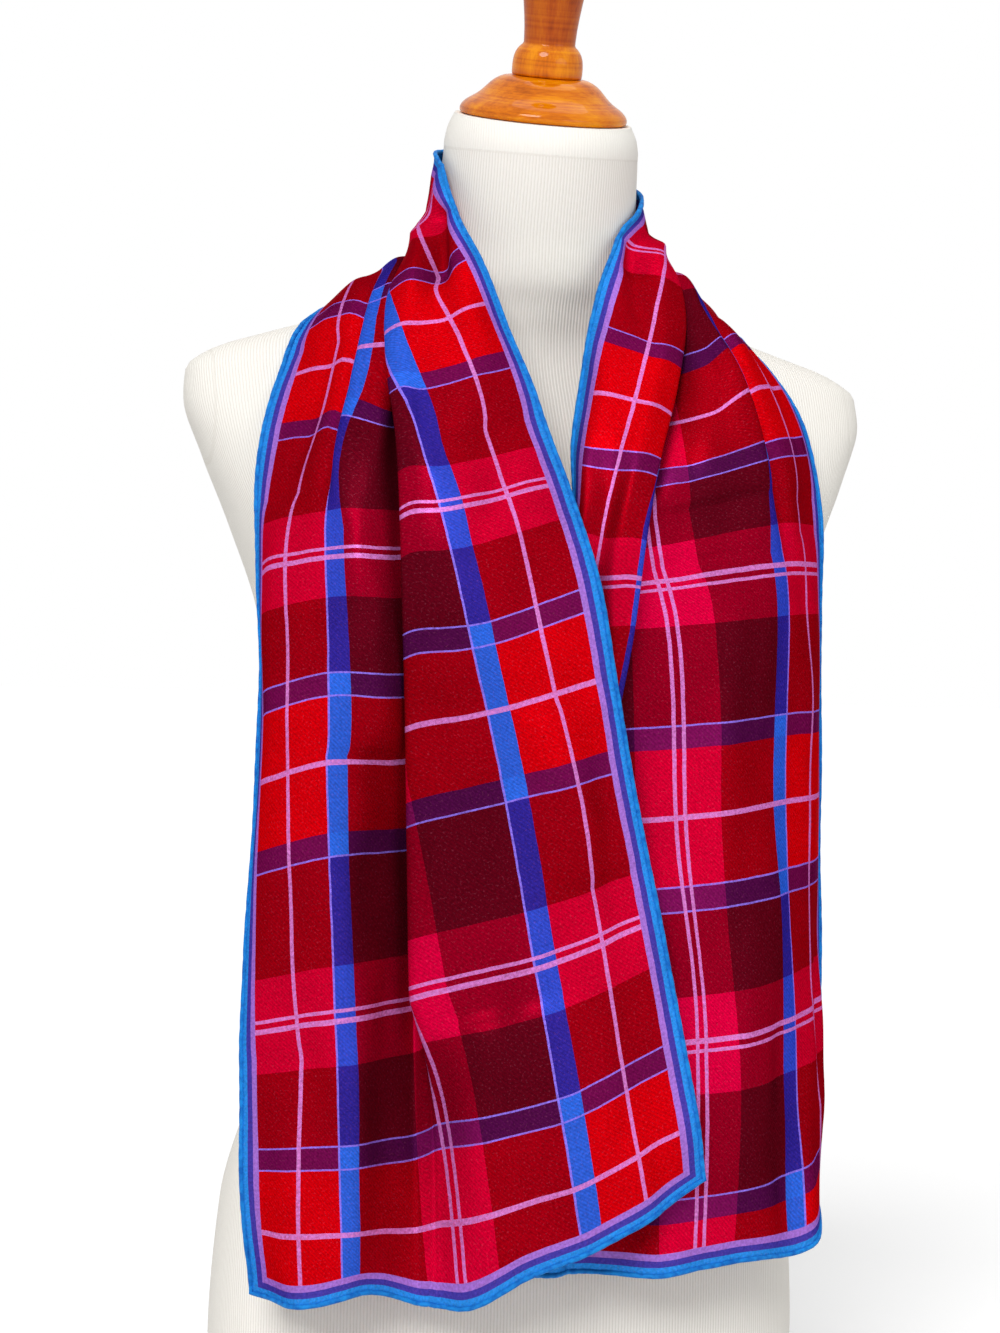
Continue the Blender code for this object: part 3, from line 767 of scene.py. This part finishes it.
def writeMap(made, name, pairs):
    # pairs holds the map's two numbers for each vertex
    layer = made.data.uv_layers.new(name=name)
    corner = np.zeros(len(made.data.loops), dtype=np.int32)
    made.data.loops.foreach_get("vertex_index", corner)
    layer.data.foreach_set("uv", np.asarray(pairs, dtype=np.float32)[corner].ravel())


def silkShell(places, across, along, material):
    normals = gridNormals(places)
    half = normals * scarf["wall"] / 2
    rows, columns = across.shape
    count = rows * columns
    index = np.arange(count).reshape(rows, columns)
    first = index[:-1, :-1].ravel()
    second = index[:-1, 1:].ravel()
    third = index[1:, 1:].ravel()
    fourth = index[1:, :-1].ravel()
    faces = np.stack([first, second, third, fourth], axis=1).tolist()
    faces += (count + np.stack([first, fourth, third, second], axis=1)).tolist()
    ring = edgeRing(rows, columns)
    for a, b in zip(ring, ring[1:] + ring[:1]):
        faces.append((a, count + a, count + b, b))
    vertices = np.vstack([(places + half).reshape(-1, 3), (places - half).reshape(-1, 3)])
    made = meshObject("silk_scarf", vertices, faces, material)
    flat = np.stack([across.ravel(), along.ravel()], axis=1)
    writeMap(made, "flat", np.vstack([flat, flat]))
    return made


def edgeRing(rows, columns):
    ring = list(range(columns))
    ring += [row * columns + columns - 1 for row in range(1, rows)]
    ring += [(rows - 1) * columns + column for column in range(columns - 2, -1, -1)]
    ring += [row * columns for row in range(rows - 2, 0, -1)]
    return ring


def edgeLoop(places, across):
    # the hem's own path: the cloth's edge, a little inside it, clear of the form by the roll
    rows, columns = across.shape
    flatPlaces = places.reshape(-1, 3)
    ring = edgeRing(rows, columns)
    inner = []
    for spot in ring:
        row = min(max(spot // columns, 1), rows - 2)
        column = min(max(spot % columns, 1), columns - 2)
        inner.append(row * columns + column)
    edge = flatPlaces[ring]
    inward = flatPlaces[inner] - edge
    inward /= np.linalg.norm(inward, axis=1)[:, None]
    return moveClear(edge + hem["inset"] * inward, hem["radius"] + hem["clear"])


def addHem(path, material):
    count = len(path)
    mesh = bpy.data.meshes.new("hemPath")
    mesh.from_pydata([tuple(point) for point in path], [(i, (i + 1) % count) for i in range(count)], [])
    made = bpy.data.objects.new("scarf_hem", mesh)
    bpy.context.scene.collection.objects.link(made)
    tree = hemTree()
    modifier = made.modifiers.new("rolledHem", "NODES")
    modifier.node_group = tree
    sockets = {item.name: item.identifier for item in tree.interface.items_tree if item.in_out == "INPUT"}
    modifier[sockets["Roll Radius"]] = hem["radius"]
    modifier[sockets["Unevenness"]] = hem["unevenness"]
    modifier[sockets["Pinch Pitch"]] = hem["pinchPitch"]
    modifier[sockets["Pinch Depth"]] = hem["pinchDepth"]
    modifier[sockets["Sides"]] = hem["sides"]
    modifier[sockets["Finish"]] = material
    settle(made)
    return made


def settle(made):
    # the finished tree's result takes the place of the object's mesh
    depsgraph = bpy.context.evaluated_depsgraph_get()
    finished = bpy.data.meshes.new_from_object(made.evaluated_get(depsgraph))
    made.modifiers.clear()
    made.data = finished


def hemTree():
    tree = bpy.data.node_groups.new("rolledHem", "GeometryNodeTree")
    face = tree.interface
    face.new_socket("Path", in_out="INPUT", socket_type="NodeSocketGeometry")
    for name in ("Roll Radius", "Unevenness", "Pinch Pitch", "Pinch Depth"):
        face.new_socket(name, in_out="INPUT", socket_type="NodeSocketFloat")
    face.new_socket("Sides", in_out="INPUT", socket_type="NodeSocketInt")
    face.new_socket("Finish", in_out="INPUT", socket_type="NodeSocketMaterial")
    face.new_socket("Hem", in_out="OUTPUT", socket_type="NodeSocketGeometry")
    given = tree.nodes.new("NodeGroupInput")
    result = tree.nodes.new("NodeGroupOutput")

    def step(kind, **inputs):
        made = tree.nodes.new(kind)
        for name, value in inputs.items():
            feed(tree, made.inputs[name.replace("_", " ")], value)
        return made

    path = step("GeometryNodeMeshToCurve", Mesh=given.outputs["Path"])
    length = tree.nodes.new("GeometryNodeSplineParameter").outputs["Length"]
    turns = work(tree, "MULTIPLY", work(tree, "DIVIDE", length, given.outputs["Pinch Pitch"]), math.pi)
    pinch = work(tree, "POWER", work(tree, "ABSOLUTE", work(tree, "COSINE", turns)), hem["pinchSharpness"])
    slubs = step("ShaderNodeTexNoise", Scale=hem["slubScale"], Detail=2.0)
    slub = work(tree, "MULTIPLY", work(tree, "SUBTRACT", slubs.outputs[0], 0.5), given.outputs["Unevenness"])
    pinch = work(tree, "MULTIPLY", pinch, given.outputs["Pinch Depth"])
    size = work(tree, "SUBTRACT", work(tree, "ADD", slub, 1.0), pinch)
    radius = work(tree, "MULTIPLY", size, given.outputs["Roll Radius"])
    ring = step("GeometryNodeCurvePrimitiveCircle", Resolution=given.outputs["Sides"], Radius=1.0).outputs[0]
    tube = step("GeometryNodeCurveToMesh", Curve=path.outputs[0], Profile_Curve=ring, Scale=radius)
    smooth = step("GeometryNodeSetShadeSmooth", Geometry=tube.outputs[0])
    whole = step("GeometryNodeRealizeInstances", Geometry=smooth.outputs[0])
    done = step("GeometryNodeSetMaterial", Geometry=whole.outputs[0], Material=given.outputs["Finish"])
    tree.links.new(done.outputs[0], result.inputs["Hem"])
    return tree


def addForm(material):
    around = dressForm["sides"]
    top = dressForm["neckTop"]
    rim = top - np.array(dressForm["rimDrops"])
    body = np.linspace(dressForm["footEdge"], top - dressForm["rimStart"], dressForm["levels"])
    heights = np.concatenate([[0.0], body, rim])
    angle = np.linspace(0, 2 * math.pi, around, endpoint=False) + math.pi / 2
    vertices = []
    wraps = []
    for height in heights:
        z = np.full(around, height)
        reach, middle = torsoReach(angle, z)
        rise = np.clip((height - (top - dressForm["bandHeight"])) / dressForm["bandFade"], 0.0, 1.0)
        reach = reach + dressForm["bandStand"] * rise
        x = reach * np.cos(angle)
        y = middle + reach * np.sin(angle)
        front = np.clip((middle - y) / dressForm["frontFade"], 0.0, 1.0)
        y = y - bustSwell(x, z) * front
        place = np.stack([x, y, z + (y - middle) * neckSlope(z)], axis=1)
        vertices.append(place)
        steps = np.linalg.norm(np.diff(np.vstack([place, place[:1]]), axis=0), axis=1)
        run = np.concatenate([[0.0], np.cumsum(steps)])
        run -= run[around // 2]
        wraps.append(np.stack([run, np.full(around + 1, height)], axis=1))
    centre = vertices[-1].mean(axis=0)
    for share in dressForm["topShares"]:
        vertices.append(centre + share * (vertices[len(heights) - 1] - centre))
        wraps.append(wraps[len(heights) - 1])
    rings = len(vertices)
    faces = [tuple(reversed(range(around)))]
    corners = [wraps[0][turn] for turn in reversed(range(around))]
    for level in range(rings - 1):
        lower = wraps[level]
        upper = wraps[level + 1]
        for turn in range(around):
            a = level * around + turn
            b = level * around + (turn + 1) % around
            faces.append((a, b, b + around, a + around))
            corners += [lower[turn], lower[turn + 1], upper[turn + 1], upper[turn]]
    faces.append(tuple((rings - 1) * around + turn for turn in range(around)))
    corners += [wraps[-1][turn] for turn in range(around)]
    made = meshObject("form_cover", np.vstack(vertices), faces, material)
    layer = made.data.uv_layers.new(name="wrap")
    layer.data.foreach_set("uv", np.array(corners, dtype=np.float32).ravel())
    return made


# A plain mirrored plaid, metres: bands across the cloth by rows along it, the dye where each row crosses
# each band, thin lines, the plain edge, the weave's own unevenness, and painted satin glints.
plaid = {
    "bands": (0.0, 0.068, 0.081, 0.130, 0.182, 0.231, 0.244),
    "scarletRow": ("#CC0008", "#2C5CD0", "#9A000E", "#D0002E", "#9A000E", "#2C5CD0", "#CC0008"),
    "indigoRow": ("#6C0C48", "#2C66DE", "#4C0C42", "#7A1054", "#4C0C42", "#2C66DE", "#6C0C48"),
    "burgundyRow": ("#96000E", "#2E2490", "#5C0414", "#8E001C", "#5C0414", "#2E2490", "#96000E"),
    "crimsonRow": ("#C8002A", "#3048C4", "#92001E", "#D4003A", "#92001E", "#3048C4", "#C8002A"),
    "period": 0.262,
    "rows": (0.0, 0.076, 0.089, 0.135, 0.190, 0.249),
    "rowDyes": ("scarletRow", "indigoRow", "burgundyRow", "crimsonRow", "burgundyRow", "indigoRow"),
    "bandLines": (0.0405, 0.1528, 0.1592, 0.2715),
    "rowLines": (0.0380, 0.1595, 0.1655),
    "lineWidth": 0.0026,
    "guardWidth": 0.0010,
    "line": "#CC78C4",
    "guard": "#8A70E4",
    "twillPitch": 0.0024,
    "twillDepth": 0.22,
    "hemBlue": "#2A86DA",
    "indigo": "#42389A",
    "lavender": "#9C6AC6",
    "edgeSteps": (0.0, 0.0054, 0.0090, 0.0128),
    "edgeScale": 0.02,
    "twillDye": "#2A0018",
    "waverSize": 0.012,
    "waver": 0.0007,
    "fleckSize": 0.0016,
    "fleckShade": 0.62,
    "cloudSize": 0.030,
    "cloudShare": 0.34,
    "grainSize": 0.0017,
    "grainShare": 1.10,
    # painted satin glints: fine specks of this pink laid into the silk's colour
    "paintedGlintSize": 0.0013,
    "paintedGlintShare": 0.075,
    "paintedGlint": "#E8789A",
    "weftSize": 0.0011,
    "weftDepth": 0.00012,
    "rough": 0.36,
}


def lineMask(tree, place, scale, centres, width):
    stops = [(0.0, black)]
    for centre in centres:
        stops.append(((centre - width / 2) / scale, white))
        stops.append(((centre + width / 2) / scale, black))
    return ramp(tree, place, stops, stepped=True)


def silkFinish():
    finish, tree, shader = newFinish(
        "satinSilk",
        Metallic=0.35,
        Specular_IOR_Level=0.0,
        Specular_Tint=(0.16, 0.02, 0.05, 1.0),
        Anisotropic=0.3,
    )
    vector, across, along = mapOf(tree, "flat")
    waver = noise(tree, vector, plaid["waverSize"], 2.0)
    drift = work(tree, "MULTIPLY", work(tree, "SUBTRACT", waver, 0.5), plaid["waver"])
    across = work(tree, "ADD", across, drift)
    along = work(tree, "SUBTRACT", along, drift)
    share = work(tree, "DIVIDE", across, scarf["width"])
    phase = work(tree, "FRACT", work(tree, "DIVIDE", along, plaid["period"]))
    rows = [row / plaid["period"] for row in plaid["rows"]]
    body = None
    for name in ("scarletRow", "indigoRow", "burgundyRow", "crimsonRow"):
        stops = [(band / scarf["width"], dye(code)) for band, code in zip(plaid["bands"], plaid[name])]
        palette = ramp(tree, share, stops, stepped=True)
        shows = [(row, white if kind == name else black) for row, kind in zip(rows, plaid["rowDyes"])]
        here = ramp(tree, phase, shows, stepped=True)
        body = palette if body is None else layOver(tree, here, body, palette)
    # a fine slant of twill in every dye
    slant = work(tree, "MULTIPLY", work(tree, "ADD", across, along), 2 * math.pi / plaid["twillPitch"])
    slant = work(tree, "MULTIPLY_ADD", work(tree, "SINE", slant), 0.5, 0.5)
    body = layOver(tree, work(tree, "MULTIPLY", slant, plaid["twillDepth"]), body, dye(plaid["twillDye"]))
    # overcheck lines inside the broad bands, and slim guard lines beside the blue ones
    lines = None
    guards = None
    for place, scale, centres, edges in (
        (share, scarf["width"], plaid["bandLines"], plaid["bands"]),
        (phase, plaid["period"], plaid["rowLines"], plaid["rows"]),
    ):
        drawn = lineMask(tree, place, scale, centres, plaid["lineWidth"])
        lines = drawn if lines is None else work(tree, "MAXIMUM", lines, drawn)
        last = edges[-2:] if place is share else edges[5:]
        slim = lineMask(tree, place, scale, (edges[1], edges[2], *last), plaid["guardWidth"])
        guards = slim if guards is None else work(tree, "MAXIMUM", guards, slim)
    dim = (*[plaid["fleckShade"]] * 3, 1.0)
    fleck = ramp(tree, noise(tree, vector, plaid["fleckSize"], 2.0), [(0.3, dim), (0.6, white)])
    body = layOver(tree, work(tree, "MULTIPLY", guards, fleck), body, dye(plaid["guard"]))
    body = layOver(tree, work(tree, "MULTIPLY", lines, fleck), body, dye(plaid["line"]))
    # bands along all four edges
    near = work(tree, "MINIMUM", across, work(tree, "SUBTRACT", scarf["width"], across))
    far = work(tree, "MINIMUM", along, work(tree, "SUBTRACT", scarf["length"], along))
    edge = work(tree, "MINIMUM", near, far)
    names = ("hemBlue", "indigo", "lavender")
    scale = plaid["edgeScale"]
    stops = [(step / scale, dye(plaid[name])) for step, name in zip(plaid["edgeSteps"], names)]
    border = ramp(tree, work(tree, "DIVIDE", edge, scale), stops, stepped=True)
    inside = work(tree, "GREATER_THAN", edge, plaid["edgeSteps"][3])
    colour = layOver(tree, inside, border, body)
    # uneven dye, and painted satin glints: fine pink specks laid into the colour
    cloudy = work(tree, "MULTIPLY", noise(tree, vector, plaid["cloudSize"], 3.0), plaid["cloudShare"])
    grain = noise(tree, vector, plaid["grainSize"], 3.0)
    value = work(tree, "ADD", cloudy, work(tree, "MULTIPLY", grain, plaid["grainShare"]))
    toned = addNode(tree, "HueSaturation")
    feed(tree, toned.inputs["Value"], work(tree, "ADD", value, 0.26))
    feed(tree, toned.inputs["Color"], colour)
    paintedGlintLevel = (*[plaid["paintedGlintShare"]] * 3, 1.0)
    paintedGlints = ramp(tree, noise(tree, vector, plaid["paintedGlintSize"], 3.0), [(0.58, black), (0.72, paintedGlintLevel)])
    feed(tree, shader.inputs["Base Color"], layOver(tree, paintedGlints, toned.outputs[0], dye(plaid["paintedGlint"])))
    feed(tree, shader.inputs["Roughness"], work(tree, "MULTIPLY_ADD", grain, 0.16, plaid["rough"]))
    weft = noise(tree, vector, plaid["weftSize"], 2.0, stretch=(1.0, 2.6, 1.0))
    addBump(tree, shader, weft, plaid["weftDepth"], 0.55)
    return finish


def hemFinish():
    finish, tree, shader = newFinish("rolledSilk", Specular_IOR_Level=0.06)
    place = addNode(tree, "TexCoord").outputs["Object"]
    tone = noise(tree, place, 0.004, 3.0)
    colour = ramp(tree, tone, [(0.32, dye(hem["shade"])), (0.62, dye(hem["colour"]))])
    feed(tree, shader.inputs["Base Color"], colour)
    feed(tree, shader.inputs["Roughness"], work(tree, "MULTIPLY_ADD", tone, 0.2, 0.45))
    addBump(tree, shader, noise(tree, place, 0.0009, 2.0), 0.0002, 0.6)
    return finish


def jerseyFinish():
    finish, tree, shader = newFinish("ribbedJersey", Specular_IOR_Level=0.1)
    _, run, height = mapOf(tree, "wrap")
    place = addNode(tree, "TexCoord").outputs["Object"]
    sway = work(tree, "SUBTRACT", noise(tree, place, 0.03, 2.0), 0.5)
    sway = work(tree, "MULTIPLY", sway, dressForm["ribSway"])
    wave = work(tree, "MULTIPLY", work(tree, "ADD", run, sway), 2 * math.pi / dressForm["ribPitch"])
    rib = work(tree, "MULTIPLY_ADD", work(tree, "COSINE", wave), 0.5, 0.5)
    # painted shade: the rib grooves are coloured darker than the ribs
    paintedGrooveShade = work(tree, "POWER", work(tree, "SUBTRACT", 1.0, rib), 2.5)
    band = dressForm["neckTop"] - dressForm["bandHeight"]
    plain = work(tree, "GREATER_THAN", height, band)
    shown = work(tree, "MULTIPLY", paintedGrooveShade, work(tree, "MULTIPLY_ADD", plain, -0.75, 1.0))
    loops = noise(tree, place, 0.0013, 2.0)
    shown = work(tree, "MULTIPLY", shown, work(tree, "MULTIPLY_ADD", loops, 0.7, 0.5))
    seam = work(tree, "ABSOLUTE", work(tree, "SUBTRACT", height, band))
    seam = work(tree, "LESS_THAN", seam, dressForm["seamHalf"])
    split = addNode(tree, "SeparateXYZ")
    feed(tree, split.inputs[0], place)
    side = work(tree, "ABSOLUTE", split.outputs[0])
    plate = work(tree, "ABSOLUTE", work(tree, "SUBTRACT", side, dressForm["plateAcross"]))
    plate = work(tree, "LESS_THAN", plate, dressForm["seamHalf"])
    upper = work(tree, "GREATER_THAN", split.outputs[2], dressForm["plateAbove"])
    seam = work(tree, "MAXIMUM", seam, work(tree, "MULTIPLY", plate, upper))
    # painted groove shade and the darker seam lines, laid into the cover's colour
    shade = work(tree, "MULTIPLY", shown, dressForm["grooveShade"])
    shade = work(tree, "MAXIMUM", shade, work(tree, "MULTIPLY", seam, dressForm["seamShade"]))
    colour = layOver(tree, shade, dye(dressForm["cover"]), dye(dressForm["paintedGrooveShade"]))
    feed(tree, shader.inputs["Base Color"], colour)
    feed(tree, shader.inputs["Roughness"], work(tree, "MULTIPLY_ADD", loops, 0.15, 0.8))
    raised = work(tree, "MULTIPLY_ADD", loops, 0.25, rib)
    addBump(tree, shader, work(tree, "SUBTRACT", raised, work(tree, "MULTIPLY", seam, 1.5)), 0.00025, 0.6)
    return finish


# The turned wood, metres: profiles as a share of the radius and the height on the slanting neck, then the
# grain's sizes and shares.
turning = {
    "capRadius": 0.0500,
    "capProfile": [
        (0.960, 0.0000),
        (0.990, 0.0006),
        (1.000, 0.0018),
        (1.000, 0.0032),
        (0.990, 0.0046),
        (0.970, 0.0060),
        (0.938, 0.0076),
        (0.900, 0.0090),
        (0.855, 0.0104),
        (0.812, 0.0118),
        (0.775, 0.0133),
        (0.740, 0.0150),
        (0.700, 0.0171),
        (0.660, 0.0192),
        (0.610, 0.0213),
        (0.560, 0.0228),
        (0.505, 0.0239),
        (0.450, 0.0245),
    ],
    "finialRadius": 0.0210,
    "finialProfile": [
        (0.975, 0.0000),
        (0.992, 0.0006),
        (1.000, 0.0020),
        (1.000, 0.0060),
        (0.992, 0.0084),
        (0.975, 0.0108),
        (0.935, 0.0134),
        (0.880, 0.0154),
        (0.815, 0.0170),
        (0.760, 0.0180),
        (0.742, 0.0186),
        (0.730, 0.0192),
        (0.733, 0.0215),
        (0.750, 0.0280),
        (0.785, 0.0350),
        (0.830, 0.0420),
        (0.885, 0.0500),
        (0.930, 0.0570),
        (0.950, 0.0625),
        (0.948, 0.0660),
        (0.920, 0.0697),
        (0.860, 0.0730),
        (0.730, 0.0764),
        (0.560, 0.0788),
        (0.360, 0.0803),
        (0.140, 0.0810),
    ],
    "seat": 0.0003,
    "sides": 96,
    "ringSize": 0.0022,
    "ringShare": 0.32,
    "figureSize": 0.012,
    "figureShare": 0.50,
    "poreSize": 0.0016,
    "poreShare": 0.18,
    "capGrain": (0.3, 1.0, 1.6),
    "finialGrain": (1.4, 1.4, 0.25),
    "capStainFrom": 1.0,  # above the cap, so it has none
    "finialStainFrom": 0.0425,
    "stainFade": 0.004,
    "stainShare": 0.6,
    "pale": "#E88E02",
    "amber": "#D06C00",
    "dark": "#9C4400",
    "stain": "#B04A08",
}


def woodFinish(name, grainStretch, deepFrom):
    # rings follow the lathe; deepFrom is the height above the neck where the stain turns darker
    finish, tree, shader = newFinish(
        name,
        Specular_IOR_Level=0.0,
        Coat_Weight=0.6,
        Coat_Roughness=0.05,
        Coat_IOR=1.4,
    )
    turned = addNode(tree, "Mapping", vector_type="TEXTURE")
    middle = steadyTable(torsoSections, dressForm["neckTop"])[0][3]
    turned.inputs["Location"].default_value = (0.0, middle, dressForm["neckTop"])
    turned.inputs["Rotation"].default_value = (dressForm["tilt"], 0.0, 0.0)
    feed(tree, turned.inputs["Vector"], addNode(tree, "TexCoord").outputs["Object"])
    split = addNode(tree, "SeparateXYZ")
    feed(tree, split.inputs[0], turned.outputs[0])
    radius = work(tree, "ADD", squared(tree, split.outputs[0]), squared(tree, split.outputs[1]))
    radius = work(tree, "SQRT", radius)
    ring = addNode(tree, "CombineXYZ")
    feed(tree, ring.inputs[0], radius)
    feed(tree, ring.inputs[2], split.outputs[2])
    rings = noise(tree, ring.outputs[0], turning["ringSize"], 2.0)
    figure = noise(tree, turned.outputs[0], turning["figureSize"], 3.0, stretch=grainStretch)
    pores = noise(tree, turned.outputs[0], turning["poreSize"], 2.0, stretch=grainStretch)
    tone = work(tree, "MULTIPLY", rings, turning["ringShare"])
    tone = work(tree, "MULTIPLY_ADD", figure, turning["figureShare"], tone)
    tone = work(tree, "MULTIPLY_ADD", pores, turning["poreShare"], tone)
    stops = [(0.34, dye(turning["dark"])), (0.48, dye(turning["amber"])), (0.62, dye(turning["pale"]))]
    colour = ramp(tree, tone, stops)
    deep = work(tree, "SUBTRACT", split.outputs[2], deepFrom)
    deep = work(tree, "MULTIPLY", deep, 1.0 / turning["stainFade"])
    deep = work(tree, "MINIMUM", work(tree, "MAXIMUM", deep, 0.0), turning["stainShare"])
    colour = layOver(tree, deep, colour, dye(turning["stain"]), "MULTIPLY")
    feed(tree, shader.inputs["Base Color"], colour)
    feed(tree, shader.inputs["Roughness"], work(tree, "MULTIPLY_ADD", pores, 0.2, 0.30))
    addBump(tree, shader, rings, 0.0002, 0.35)
    return finish


def squared(tree, value):
    return work(tree, "MULTIPLY", value, value)


def addTurned(name, profile, radius, seat, material):
    around = turning["sides"]
    sinTilt = math.sin(dressForm["tilt"])
    cosTilt = math.cos(dressForm["tilt"])
    middle = steadyTable(torsoSections, dressForm["neckTop"])[0][3]
    angle = np.linspace(0, 2 * math.pi, around, endpoint=False)
    vertices = []
    for share, height in profile:
        x = share * radius * np.cos(angle)
        y = share * radius * np.sin(angle)
        level = height + seat
        back = middle + y * cosTilt - level * sinTilt
        up = dressForm["neckTop"] + y * sinTilt + level * cosTilt
        vertices.append(np.stack([x, back, up], axis=1))
    faces = [tuple(reversed(range(around)))]
    for ring in range(len(profile) - 1):
        for turn in range(around):
            a = ring * around + turn
            b = ring * around + (turn + 1) % around
            faces.append((a, b, b + around, a + around))
    faces.append(tuple((len(profile) - 1) * around + turn for turn in range(around)))
    return meshObject(name, np.vstack(vertices), faces, material)


silk = silkFinish()
places, across, along = drapeSilk()
scarfPiece = silkShell(places, across, along, silk)
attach(scarfPiece, "root")
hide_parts("scarf_left_fall", "scarf_neck_loop", "scarf_right_fall")
print("silk draped:", len(scarfPiece.data.polygons), "faces")

hemPiece = addHem(edgeLoop(places, across), hemFinish())
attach(hemPiece, "root")
print("hem rolled:", len(hemPiece.data.polygons), "faces")

formPiece = addForm(jerseyFinish())
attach(formPiece, "root")
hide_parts("dress_form")
print("form covered:", len(formPiece.data.polygons), "faces")

capWood = woodFinish("varnishedCap", turning["capGrain"], turning["capStainFrom"])
capPiece = addTurned("turned_cap", turning["capProfile"], turning["capRadius"], turning["seat"], capWood)
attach(capPiece, "root")
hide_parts("neck_cap")

stemSeat = turning["capProfile"][-1][1] + 2 * turning["seat"]
stemWood = woodFinish("varnishedFinial", turning["finialGrain"], turning["finialStainFrom"])
stemPiece = addTurned("turned_finial", turning["finialProfile"], turning["finialRadius"], stemSeat, stemWood)
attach(stemPiece, "root")
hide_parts("finial")
print("wood turned")

# The studio: a pale floor, a white surround and three soft lamps.
studio = {
    "floorReach": 40.0,
    "floorLevel": -0.0005,
    "floorColour": (0.86, 0.86, 0.86, 1.0),
    "floorLift": 0.28,
    "surround": 0.36,
    "lamps": [  # name, where it shines from, spread in degrees, strength
        ("keyLamp", (-1.05, -2.0, 2.0), 26.0, 2.15),
        ("fillLamp", (1.5, -2.4, 0.45), 40.0, 0.60),
        ("topLamp", (0.3, 0.2, 2.4), 40.0, 0.55),
    ],
    "aim": (0.0, 0.0, 0.48),
}


def seenDirectly(tree):
    path = addNode(tree, "LightPath")
    seen = work(tree, "MAXIMUM", path.outputs["Is Camera Ray"], path.outputs["Is Glossy Ray"])
    return work(tree, "MAXIMUM", seen, path.outputs["Is Transmission Ray"])


def addFloor():
    finish = bpy.data.materials.new("paleFloor")
    finish.use_nodes = True
    tree = finish.node_tree
    tree.nodes.remove(tree.nodes["Principled BSDF"])
    matt = addNode(tree, "BsdfDiffuse")
    matt.inputs["Color"].default_value = studio["floorColour"]
    lift = addNode(tree, "Emission")
    feed(tree, lift.inputs["Strength"], work(tree, "MULTIPLY", seenDirectly(tree), studio["floorLift"]))
    both = addNode(tree, "AddShader")
    feed(tree, both.inputs[0], matt.outputs[0])
    feed(tree, both.inputs[1], lift.outputs[0])
    feed(tree, tree.nodes["Material Output"].inputs["Surface"], both.outputs[0])
    reach = studio["floorReach"]
    turns = ((-1, -1), (1, -1), (1, 1), (-1, 1))
    corners = [(x * reach, y * reach, studio["floorLevel"]) for x, y in turns]
    meshObject("studio_floor", corners, [(0, 1, 2, 3)], finish)


def addSurround():
    world = bpy.data.worlds.new("studioWorld")
    bpy.context.scene.world = world
    world.use_nodes = True
    tree = world.node_tree
    ground = tree.nodes["Background"]
    ground.inputs["Color"].default_value = white
    gain = 1.0 - studio["surround"]
    strength = work(tree, "MULTIPLY_ADD", seenDirectly(tree), gain, studio["surround"])
    feed(tree, ground.inputs["Strength"], strength)


def addLamps():
    for name, place, spread, strength in studio["lamps"]:
        lamp = bpy.data.lights.new(name, "SUN")
        lamp.angle = math.radians(spread)
        lamp.energy = strength
        made = bpy.data.objects.new(name, lamp)
        made.location = place
        toward = Vector(studio["aim"]) - Vector(place)
        made.rotation_euler = toward.to_track_quat("-Z", "Y").to_euler()
        bpy.context.scene.collection.objects.link(made)


# The camera's place and turn; angles in degrees, sensor and lens in millimetres.
view = {
    "azimuth": -14.0,
    "roll": 1.5,
    "distance": 1.75,
    "target": (0.0045, 0.0, 0.48),
    "sensor": 36.0,
    "lens": 105.0,
    "shiftX": -0.031,
}


def addCamera():
    turn = math.radians(view["azimuth"])
    roll = math.radians(view["roll"])
    back = Vector((math.sin(turn), -math.cos(turn), 0.0))
    level = Vector((math.cos(turn), math.sin(turn), 0.0))
    up = Vector((0.0, 0.0, 1.0))
    right = math.cos(roll) * level + math.sin(roll) * up
    top = math.cos(roll) * up - math.sin(roll) * level
    data = bpy.data.cameras.new("studioCamera")
    data.sensor_width = view["sensor"]
    data.sensor_fit = "HORIZONTAL"
    data.lens = view["lens"]
    data.shift_x = view["shiftX"]
    made = bpy.data.objects.new("studioCamera", data)
    place = Vector(view["target"]) + view["distance"] * back
    made.matrix_world = Matrix.Translation(place) @ Matrix((right, top, back)).transposed().to_4x4()
    bpy.context.scene.collection.objects.link(made)
    bpy.context.scene.camera = made


addFloor()
addSurround()
addLamps()
addCamera()
bpy.context.scene.view_settings.view_transform = "Standard"
print("studio ready")

bpy.context.view_layer.update()
